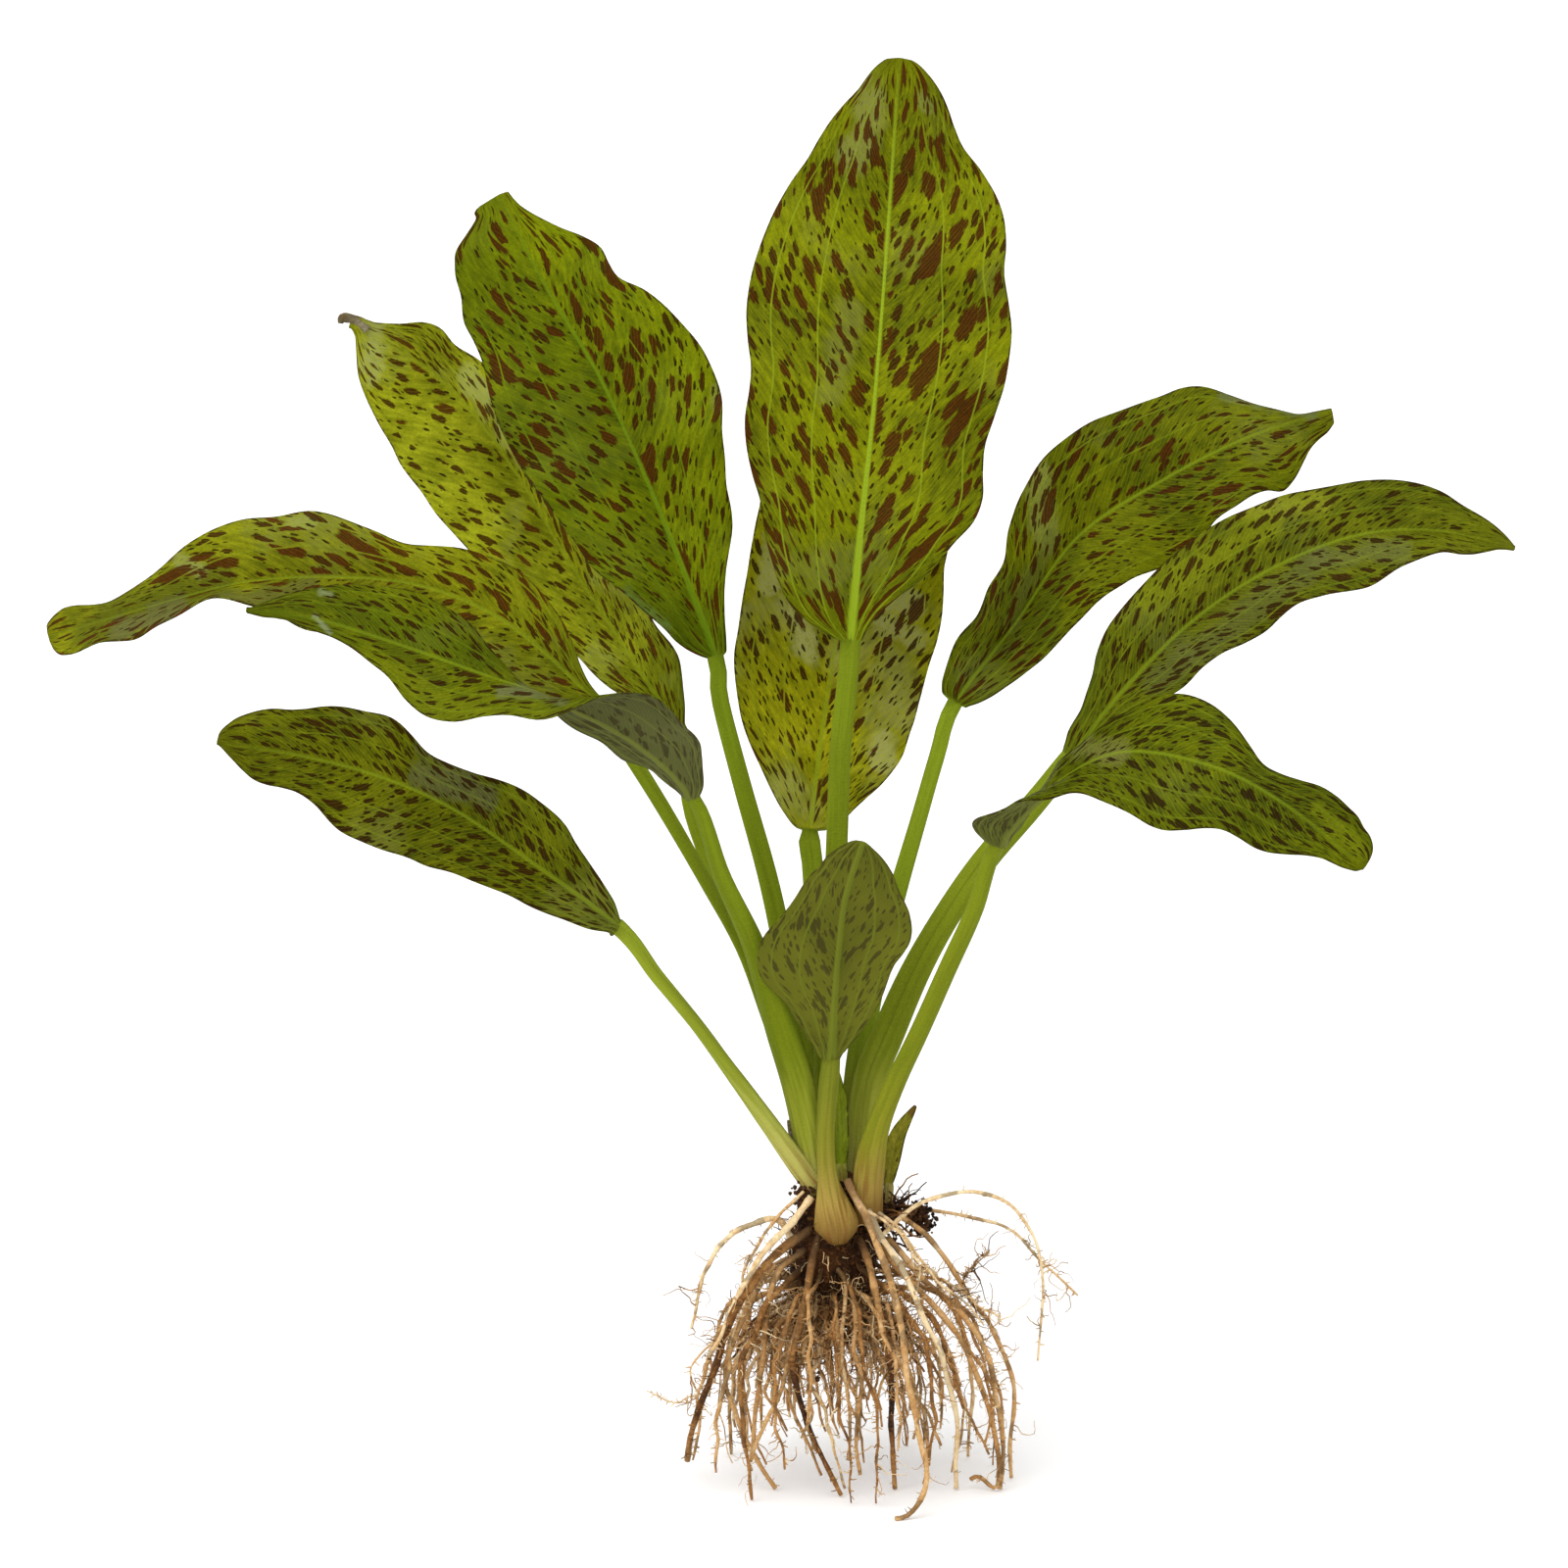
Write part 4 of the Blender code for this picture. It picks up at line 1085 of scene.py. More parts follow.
        left=(2.2, 1.9, 2, 2.4, 3.2, 4.1, 5.2, 6.3, 7.4, 8.6, 9.8, 10.9, 11.8, 12.5, 13.1, 13.9, 15.3, 16.6,
              16.9, 16.6, 16, 15.2, 13.8, 12, 10.7, 9.4, 7.9, 6.3, 4.6, 2.9, 1.8, 1, 0.5),
        right=(2.2, 2.9, 3.2, 3.6, 4.1, 4.9, 6, 7, 8.3, 9.8, 11.7, 14.4, 16.9, 18.3, 19, 19.1, 18.5, 17.4,
               15.5, 13.5, 11.8, 10.6, 9.6, 8.3, 7.5, 6.9, 5.9, 4.8, 3.8, 3, 2.3, 1.6, 0.5),
        turn=(180,) * 9, fold=(8, 6, 4, 2, 2, 2, 2, 0, 0), base_turn=180,
        stalk_half=(2.2, 5.4, 4.8, 3.6, 2.6, 2.3, 2.25, 2.25, 2.3, 2.4, 2.5, 2.4, 2.2),
        slot="blade_underside", ruffle=0.9, ribs_raised=0.9,
        finish=BladeFinish("blade_front", under=(94, 96, 26), under_vein=(106, 116, 34), vein=(112, 120, 34),
                           stalk=(106, 114, 28), pale=(126, 124, 38), sheath=(162, 134, 68),
                           filled=(0.0, 0.05, 0.6, 0.75), sheath_top=0.068, seed=22.7)),
    Leaf(
        "leaf_high_right",
        stalk=((2.2, 5.8, 64), (3.4, 9, 98), (7.4, 12, 122), (12.7, 16, 141.5), (18.2, 20, 160),
               (22.7, 24, 175)),
        blade=((27, 27, 187.5), (41.5, 31, 206.5), (56.5, 34, 227), (75.5, 34, 240), (97, 31, 251.5),
               (118, 27, 259)),
        left=(2, 4, 5.1, 6.3, 7.4, 8.7, 10.2, 12.2, 15, 17.9, 18.7, 18.2, 16.8, 17.2, 20, 21.6, 21.8, 21.4,
              20.5, 19.6, 19, 18.5, 16.1, 11.9, 8, 5.2, 3.2, 1.8, 1.3, 1, 0.8, 0.7, 0.5),
        right=(2, 3, 3.5, 4.5, 5.6, 6.8, 8, 9.3, 10.3, 11.4, 12.1, 12.5, 13.5, 14.9, 16.2, 17.2, 17.9, 18.5,
               19, 18.4, 16.8, 15, 13.6, 13.8, 15.2, 13.2, 10.1, 7.3, 5.8, 4.9, 3.8, 2.9, 0.5),
        turn=(0, -6, -16, -12, 6, 18, 26, 26, 24), fold=(20, 20, 34, 30, 12, 0, -8, -8, -6), base_turn=10,
        stalk_half=(3.6, 3.5, 2.7, 2.1, 2.0), ruffle=1.5,
        # Stalk painted lighter than its own tone, to offset the shade it stands in, turned from the light.
        finish=BladeFinish("blade_high_right", dark=(70, 76, 0), light=(96, 100, 2), bloom_and_sheen=(118, 118, 72),
                           bloom_and_sheen_share=0.25, stalk=(116, 132, 26), filled=(0.05, 0.35, 0.7, 0.45), seed=25.9,
                           patches=(Patch((47, 243), (49.5, 227), 4, 0.75, (126, 130, 54)),
                                    Patch((49.5, 227), (40, 206), 3, 0.6, (92, 96, 34)),
                                    Patch((57, 228), (48, 206), 3.4, 0.5, (62, 70, 0)),
                                    Patch((93, 262.5), (113, 258.5), 2.2, 0.8, (94, 98, 60)))),
        dents=(Dent(BladeSide.RIGHT, 0.68, 6, 1.2, 2.2), Dent(BladeSide.LEFT, 0.46, 7, 0, 1.8))),
    Leaf(
        "leaf_arch_right",
        stalk=((3, 1.2, 63.5), (5.7, 1.6, 95.5), (11.3, 0, 112), (17.8, -2, 127.5), (25.5, -3, 141.5),
               (34, -3, 154), (45, -4, 167)),
        blade=((54, -4, 178.5), (65, -5, 193.5), (81, -6, 210.5), (99.5, -6, 223.5), (120, -6, 232),
               (139, -6, 233.5), (159, -6, 229.5)),
        left=(2.8, 2.8, 3.2, 3.7, 4.5, 4.9, 5.3, 6.5, 8.1, 10.8, 12.7, 13.6, 14.5, 15.2, 15.7, 15.9, 15.8,
              15.5, 15.1, 14.1, 13.1, 12.6, 12.2, 11.2, 9.7, 7.7, 6.3, 5, 3.7, 2.5, 1.4, 0.6, 0.5),
        right=(2.8, 2.6, 2.3, 2, 1.9, 2.2, 2.8, 3.7, 5, 7, 9.4, 10.7, 10.6, 10.7, 12, 12.2, 11.3, 10.8, 11.8,
               13.2, 13.3, 12.6, 11.1, 10, 9.6, 9, 6.4, 3.8, 2.1, 1.4, 1.1, 1, 0.5),
        turn=(30, 26, 22, 20, 20, 26, 38, 36, 30), fold=(16, 12, 8, 4, 2, 8, 22, 18, 10), base_turn=15,
        stalk_half=(3.0, 4.1, 4.1, 3.5, 3.2, 2.9), ruffle=1.0,
        # Stalk painted lighter than its own tone, to offset the shade it stands in, turned from the light.
        finish=BladeFinish("blade_arch_right", dark=(68, 73, 2), light=(92, 96, 8), bloom_and_sheen=(116, 118, 66),
                           blotch=(54, 28, 2), bloom_and_sheen_share=0.2, vein_share=0.35, stalk=(112, 122, 24),
                           pale=(150, 152, 56), filled=(0.0, 0.1, 0.7, 0.65), seed=29.3,
                           patches=(Patch((72, 217), (100, 235), 4.2, 0.7, (112, 118, 10)),
                                    Patch((92, 239), (113, 240), 3, 0.7, (126, 128, 26)),
                                    Patch((74, 198), (112, 227), 4, 0.75, (84, 86, 36)),
                                    Patch((67, 200), (93, 221), 2.2, 0.6, (62, 64, 0)),
                                    Patch((112, 227), (132, 230), 3, 0.6, (98, 100, 50))))),
    Leaf(
        "leaf_low_right",
        stalk=((6.2, -7, 66), (6, -8.4, 76), (7.7, -10.4, 88), (12, -12.8, 100.5), (18.3, -16, 115),
               (24.5, -19, 130), (30.7, -23, 145)),
        blade=((36, -27, 161.5), (48, -34, 176), (64, -44, 186), (84, -54, 184.5), (101, -62, 176.5),
               (118.5, -68, 163)),
        left=(2.4, 3.8, 5.3, 6.7, 8, 9.2, 10.3, 11.2, 11.5, 10.6, 9.5, 9.5, 9.9, 10.9, 12.4, 14.1, 15, 14.2,
              11.9, 8.5, 5.8, 5.6, 6.8, 8.4, 8.8, 8.7, 8.6, 7.6, 7, 5.9, 4.4, 2.4, 0.5),
        right=(2.4, 4.5, 6.5, 9.3, 11.8, 12.9, 12, 10.8, 11.3, 12, 11.8, 11.4, 12.2, 13.8, 15, 16, 17.2,
               17.4, 16, 14.1, 12.6, 12.2, 12.1, 11.1, 9, 6.5, 4.7, 3.9, 3.3, 2.5, 1.8, 0.7, 0.5),
        turn=(125, 122, 104, 64, 24, 16, 14, 14, 14), fold=(14, 14, 12, 6, 0, -4, -6, -4, -4),
        base_turn=155, stalk_half=(3.7, 4.1, 3.2, 2.9, 2.8, 2.8, 2.8, 2.7, 2.5), ruffle=0.8,
        # Stalk painted lighter than its own tone, to offset the shade it stands in, turned from the light.
        finish=BladeFinish("blade_low_right", dark=(58, 64, 0), light=(86, 92, 0), bloom_and_sheen=(116, 118, 72),
                           blotch=(40, 22, 2), bloom_and_sheen_share=0.15, vein_share=0.35, stalk=(112, 120, 24),
                           pale=(130, 128, 34), filled=(0.0, 0.1, 0.75, 0.7), sheath=(152, 122, 64),
                           sheath_top=0.072, seed=32.9,
                           patches=(Patch((46, 186), (63, 186), 3.6, 0.8, (104, 104, 48)),
                                    Patch((73.4, 168.4), (74.6, 167.4), 1.6, 0.9, (150, 154, 112)),
                                    Patch((108, 176), (119, 166), 2.2, 0.6, (104, 112, 8))))),
    Leaf(
        "leaf_young",
        stalk=((-1, -3.9, 63.5), (-0.6, -4.6, 74)),
        blade=((-0.8, -5.2, 80), (-1.2, -6, 92), (-2.2, -6.6, 104)),
        left=(1.4, 1.6, 1.9, 2.1, 2.1, 1.9, 1.4, 0.8, 0.4),
        right=(1.4, 1.6, 1.9, 2.1, 2.1, 1.9, 1.4, 0.8, 0.4),
        turn=(0,) * 9, fold=(10,) * 9, base_turn=0, stalk_half=(1.4, 1.4), slot="sheath_green",
        ruffle=0.0, rings=(12, 60),
        finish=BladeFinish("young_leaf", dark=(94, 106, 12), light=(110, 120, 24),
                           filled=(0.0, 0.0, 0.1, 0.1), base_shade=0.0, seed=36.1)),
    Leaf(
        "leaf_spike",
        stalk=((9.4, -0.4, 64), (10.6, 0, 70)),
        blade=((10.9, 0, 74), (11.6, -0.6, 80), (13.2, -1.2, 86.5), (17.2, -2, 93.5)),
        left=(1.5, 2.2, 2.6, 2.5, 2.2, 1.7, 1.1, 0.6, 0.3),
        right=(1.0, 1.3, 1.8, 2.2, 2.2, 1.8, 1.2, 0.7, 0.3),
        turn=(15,) * 9, fold=(12,) * 9, base_turn=15, stalk_half=(1.3, 1.3),
        slot="sheath_green", ruffle=0.0, rings=(12, 60),
        finish=BladeFinish("spike", dark=(106, 104, 18), light=(130, 126, 34), vein=(134, 130, 50),
                           filled=(0.0, 0.05, 0.1, 0.2), base_shade=0.0, seed=39.7,
                           patches=(Patch((17.5, 94), (16.2, 92), 1.4, 0.8, (96, 50, 22)),
                                    Patch((17.4, 91), (14.6, 80), 0.6, 0.6, (104, 58, 26))))),
)


@dataclass
class DryTips:
    """Withered ends: one curled at the far left leaf's tip and one beside the crown."""

    places: tuple = (
        ("far_left_tip", ((-117.6, 68, 275.2), (-119.4, 68, 276.9), (-121.6, 67.6, 277.8), (-124, 67, 278.1),
                          (-124.4, 66.6, 276.8)), (1.5, 1.3, 1.1, 1.3, 0.7)),
        ("crown_tip", ((-12, -3, 84), (-13, -3.4, 88), (-13.4, -3.6, 90.2)), (0.9, 0.8, 0.5)),
    )
    finish: EarthFinish = EarthFinish("dry_leaf", dark=(100, 88, 60), light=(146, 136, 108),
                                      fleck=(92, 60, 34))

    def build(self, effects: Effects) -> None:
        """Model the ends and dress them.

        Args:
            effects: The shared node groups.
        """
        material = self.finish.build(effects)
        place = np.linspace(0, 1, 20)
        for name, knots, radii in self.places:
            along = np.linspace(0, 1, len(radii))
            strand = Strand(even_route(knots, place), np.interp(place, along, radii), 0.5)
            finish_piece(strand_mesh(name, [strand], 3), material, "blade_olive")


# ---------------------------------------------------------------- crown

@dataclass
class Crown:
    """Short dark rhizome with the torn fibres of old leaf bases round it."""

    axis: tuple[float, float] = (CROWN_X, 0.0)
    profile: tuple = ((46.6, 4.0), (48.5, 8.5), (52.0, 10.0), (60.5, 10.0), (66.0, 9.0), (71.5, 8.0),
                      (75.5, 6.4), (77.0, 3.0))
    lumps: float = 0.9
    fibres: int = 300
    fibre_heights: tuple[float, float] = (48.0, 66.0)
    fibre_start: float = 9.0
    fibre_length: tuple[float, float] = (2.5, 8.0)
    fibre_radius: tuple[float, float] = (0.1, 0.26)
    fibre_tones: tuple = (0.2, 0.45, 0.7, 0.9)
    sprigs: int = 70
    sprig_middle: tuple = (7.0, -1.0, 66.0)
    sprig_spread: tuple = (1.5, 2.0, 2.0)
    sprig_length: tuple[float, float] = (6.0, 17.0)
    sprig_radius: tuple[float, float] = (0.16, 0.42)
    finish: EarthFinish = EarthFinish("crown_bark", dark=(30, 16, 6), light=(70, 40, 18), fleck=(120, 80, 40))

    def build(self, effects: Effects, roots: bpy.types.Material) -> None:
        """Model the rhizome and its fibres, and dress them.

        Args:
            effects: The shared node groups.
            roots: Material of the fibres.
        """
        finish_piece(self._bark(), self.finish.build(effects), "crown_brown", "crown")
        finish_piece(self._fibres(), roots, "crown_brown")

    def _bark(self) -> bpy.types.Object:
        """Closed lumpy body turned round the crown's axis."""
        rng = np.random.default_rng(SEED + 1)
        heights, radii = np.array(self.profile).T
        rows, columns = 40, 97
        share = np.linspace(0, len(heights) - 1, rows)
        height = np.interp(share, range(len(heights)), heights)[:, None]
        radius = spline(radii, share)[:, None]
        angle = np.linspace(0, math.tau, columns)[None, :]
        for _ in range(14):
            turns, drift, phase = rng.integers(2, 17), rng.uniform(-1.2, 1.2), rng.uniform(0, math.tau)
            radius = radius + self.lumps / turns ** 0.7 * 0.7 * np.sin(turns * angle + drift * height + phase)
        points = np.stack((self.axis[0] + radius * np.cos(angle), self.axis[1] + radius * np.sin(angle),
                           height + 0.0 * angle), axis=-1)
        return unrolled_skin("crown_bark", points, {})

    def _fibres(self) -> bpy.types.Object:
        """Short dry fibres that stand off the crown and hang over its shoulder."""
        rng = np.random.default_rng(SEED + 2)
        strands = []
        for _ in range(self.fibres):
            angle = rng.uniform(0, math.tau)
            out = np.array((math.cos(angle), math.sin(angle), 0.0))
            start = np.array((*self.axis, rng.uniform(*self.fibre_heights))) + out * self.fibre_start
            lean = unit(out + np.array((0, 0, rng.uniform(-1.4, 0.6))) + rng.normal(0, 0.35, 3))
            strands.append(curly(rng, start, lean, rng.uniform(*self.fibre_length),
                                 rng.uniform(*self.fibre_radius), float(rng.choice(self.fibre_tones)),
                                 7, 0.5))
        for _ in range(self.sprigs):
            start = np.array(self.sprig_middle) + rng.normal(0, 1, 3) * self.sprig_spread
            lean = unit(np.array((1.0, 0.0, rng.uniform(-0.5, 0.45))) + rng.normal(0, 0.15, 3))
            strands.append(curly(rng, start, lean, rng.uniform(*self.sprig_length),
                                 rng.uniform(*self.sprig_radius), float(rng.uniform(0.55, 1.0)), 10, 0.3))
        return strand_mesh("crown_fibres", strands, 0)


# ---------------------------------------------------------------- roots

def curly(rng: np.random.Generator, start, lean, length: float, radius: float, tone: float, count: int,
          bend: float) -> Strand:
    """A thin root that wanders from its start.

    Args:
        rng: Source of its turns.
        start: First point in millimetres.
        lean: Unit direction in which it sets out.
        length: Length in millimetres.
        radius: Radius at its start.
        tone: Its tone.
        count: Number of points.
        bend: How far each step may turn it.

    Returns:
        The strand, above the surface that the plant stands on.
    """
    points, heading = [np.asarray(start, float)], np.asarray(lean, float)
    for _ in range(count - 1):
        heading = unit(heading + rng.normal(0, bend, 3))
        points.append(points[-1] + heading * length / (count - 1))
    points = np.array(points)
    radii = radius * np.linspace(1.0, 0.45, count)
    points[:, 2] = np.maximum(points[:, 2], radii)
    return Strand(points, radii, tone)


def wandering(points: np.ndarray, rng: np.random.Generator, amount: float) -> np.ndarray:
    """Shift a route's inner points smoothly sideways by up to about an amount, in millimetres."""
    place = np.linspace(0, 1, len(points))
    hold = np.sin(np.pi * np.clip(place, 0, 1))[:, None] ** 0.7
    shift = np.zeros_like(points)
    for turns in (1.5, 3.2, 6.1):
        phase = rng.uniform(0, math.tau, 3)
        shift += np.sin(math.tau * turns * place[:, None] + phase) / turns ** 0.8
    return points + shift * hold * amount * 0.6


def nubs(rng: np.random.Generator, carrier: Strand, count: int) -> list[Strand]:
    """Short broken side roots that stand off the lower part of a root.

    Args:
        rng: Source of their places.
        carrier: The root.
        count: Number of nubs.

    Returns:
        The nubs.
    """
    made = []
    for _ in range(count):
        at = rng.integers(len(carrier.points) // 4, len(carrier.points) - 2)
        along = unit(carrier.points[at + 1] - carrier.points[at])
        lean = unit(np.cross(along, rng.normal(0, 1, 3)) + along * 0.3)
        start = carrier.points[at] + (carrier.points[at + 1] - carrier.points[at]) * rng.uniform()
        made.append(curly(rng, start, lean, carrier.radii[at] + rng.uniform(0.3, 1.5),
                          rng.uniform(0.14, 0.26), float(np.mean(carrier.tone)) * rng.uniform(0.4, 1.0),
                          3, 0.2))
    return made


@dataclass
class MainRoots:
    """Thick roots that fan out of the crown and carry the plant, with their side roots.

    Each row has its direction round the crown in degrees, its start height, its reach at the
    shoulder, at the belly and at the tip, and the direction of the tip.
    """

    axis: float = CROWN_X
    radius: float = 0.85
    tip_scale: float = 0.45
    start: float = 8.0
    shoulder: float = 46.0
    belly: float = 24.0
    points: int = 44
    tones: tuple = (0.2, 0.3, 0.38, 0.46, 0.6)
    front_cuts: tuple = (0.66, 0.78, 0.86, 1.0)
    other_cuts: tuple = (0.74, 0.84, 0.92, 1.0)
    stubs: int = 10
    stub_length: tuple[float, float] = (2.0, 8.0)
    stub_radius: tuple[float, float] = (0.1, 0.22)
    nubs: int = 44
    rows: tuple = (
        (-178, 55, 22, 33.0, 37.5, -176), (-164, 60, 24, 33.5, 36.0, -166), (-150, 55, 22, 32.5, 34.0, -156),
        (-135, 60, 24, 32.5, 30.0, -138), (-120, 55, 21, 30.5, 26.0, -120), (-105, 60, 23, 30.0, 24.0, -102),
        (-90, 54, 22, 30.0, 23.0, -86), (-76, 60, 25, 31.0, 24.5, -72), (-62, 54, 24, 32.5, 27.0, -64),
        (-48, 60, 28, 35.0, 30.5, -50), (-35, 54, 27, 37.0, 33.5, -37), (-22, 60, 31, 39.5, 36.0, -24),
        (-9, 54, 29, 40.0, 39.5, -10), (18, 54, 29, 39.5, 38.5, 17), (32, 60, 31, 38.5, 36.5, 32),
        (46, 54, 27, 36.5, 35.0, 46), (62, 60, 29, 35.5, 34.0, 62), (78, 54, 25, 34.0, 33.5, 78),
        (94, 60, 27, 34.0, 33.0, 95), (110, 54, 23, 33.0, 33.0, 111), (126, 60, 25, 33.0, 34.0, 126),
        (142, 54, 22, 32.5, 35.0, 142), (158, 60, 24, 33.0, 36.5, 158),
    )

    def knots(self, row: tuple) -> np.ndarray:
        """Knots of one root: out of the crown, over the tangle and down to the surface."""
        angle, start, shoulder, belly, tip, tip_angle = row
        low = self.radius * self.tip_scale + 0.05
        spots = ((self.start, start - 4, 0.0), (shoulder, self.shoulder, 0.2), (belly, self.belly, 0.5),
                 ((belly + tip) / 2, self.belly / 2, 0.8), (tip, low, 1.0))
        points = []
        for reach, height, share in spots:
            turned = math.radians(angle + (tip_angle - angle) * share)
            lean = self.axis * min(1.0, height / self.shoulder)
            points.append((lean + reach * math.cos(turned), reach * math.sin(turned), height))
        return np.array(points)

    def build(self, roots: bpy.types.Material) -> list[Strand]:
        """Model the main roots with their stubs.

        Args:
            roots: Their material.

        Returns:
            The main strands, for the tangle to grow from.
        """
        rng = np.random.default_rng(SEED + 3)
        place = np.linspace(0, 1, self.points)
        strands, stubs = [], []
        for row in self.rows:
            in_front = math.sin(math.radians(row[0])) < -0.5
            cut = float(rng.choice(self.front_cuts if in_front else self.other_cuts))
            points = wandering(even_route(self.knots(row), place * cut), rng, 1.8)
            swell = 1 + 0.12 * np.sin(math.tau * (place * rng.uniform(3, 6) + rng.uniform())) \
                + 0.1 * np.sin(math.tau * (place * rng.uniform(9, 14) + rng.uniform()))
            radii = self.radius * (1 - (1 - self.tip_scale) * place ** 2) * swell * rng.uniform(0.5, 1.0)
            points[:, 2] = np.maximum(points[:, 2], radii)
            strands.append(Strand(points, radii, float(rng.choice(self.tones))))
            for _ in range(self.stubs):
                at = rng.integers(4, self.points - 2)
                out = unit(points[at] - np.array((self.axis, 0, points[at][2])))
                lean = unit(out * 0.6 + np.array((0, 0, -0.5)) + rng.normal(0, 0.6, 3))
                stubs.append(curly(rng, points[at], lean, rng.uniform(*self.stub_length),
                                   rng.uniform(*self.stub_radius), float(rng.uniform(0.1, 0.5)), 9, 0.4))
            stubs += nubs(rng, strands[-1], self.nubs)
        names = [f"root_{number:02d}" for number in range(1, len(self.rows) + 1)]
        finish_piece(strand_mesh("main_roots", strands, 3), roots, "root_tan", *names)
        finish_piece(strand_mesh("main_root_stubs", stubs, 0), roots, "root_tan")
        return strands


@dataclass(frozen=True)
class LooseRoot:
    """A root that stands out from the others: knots, radii at start and end, and tone or tones along it."""

    name: str
    knots: tuple
    start: float
    end: float
    tone: float | tuple[float, ...]
    nodes: tuple = ()


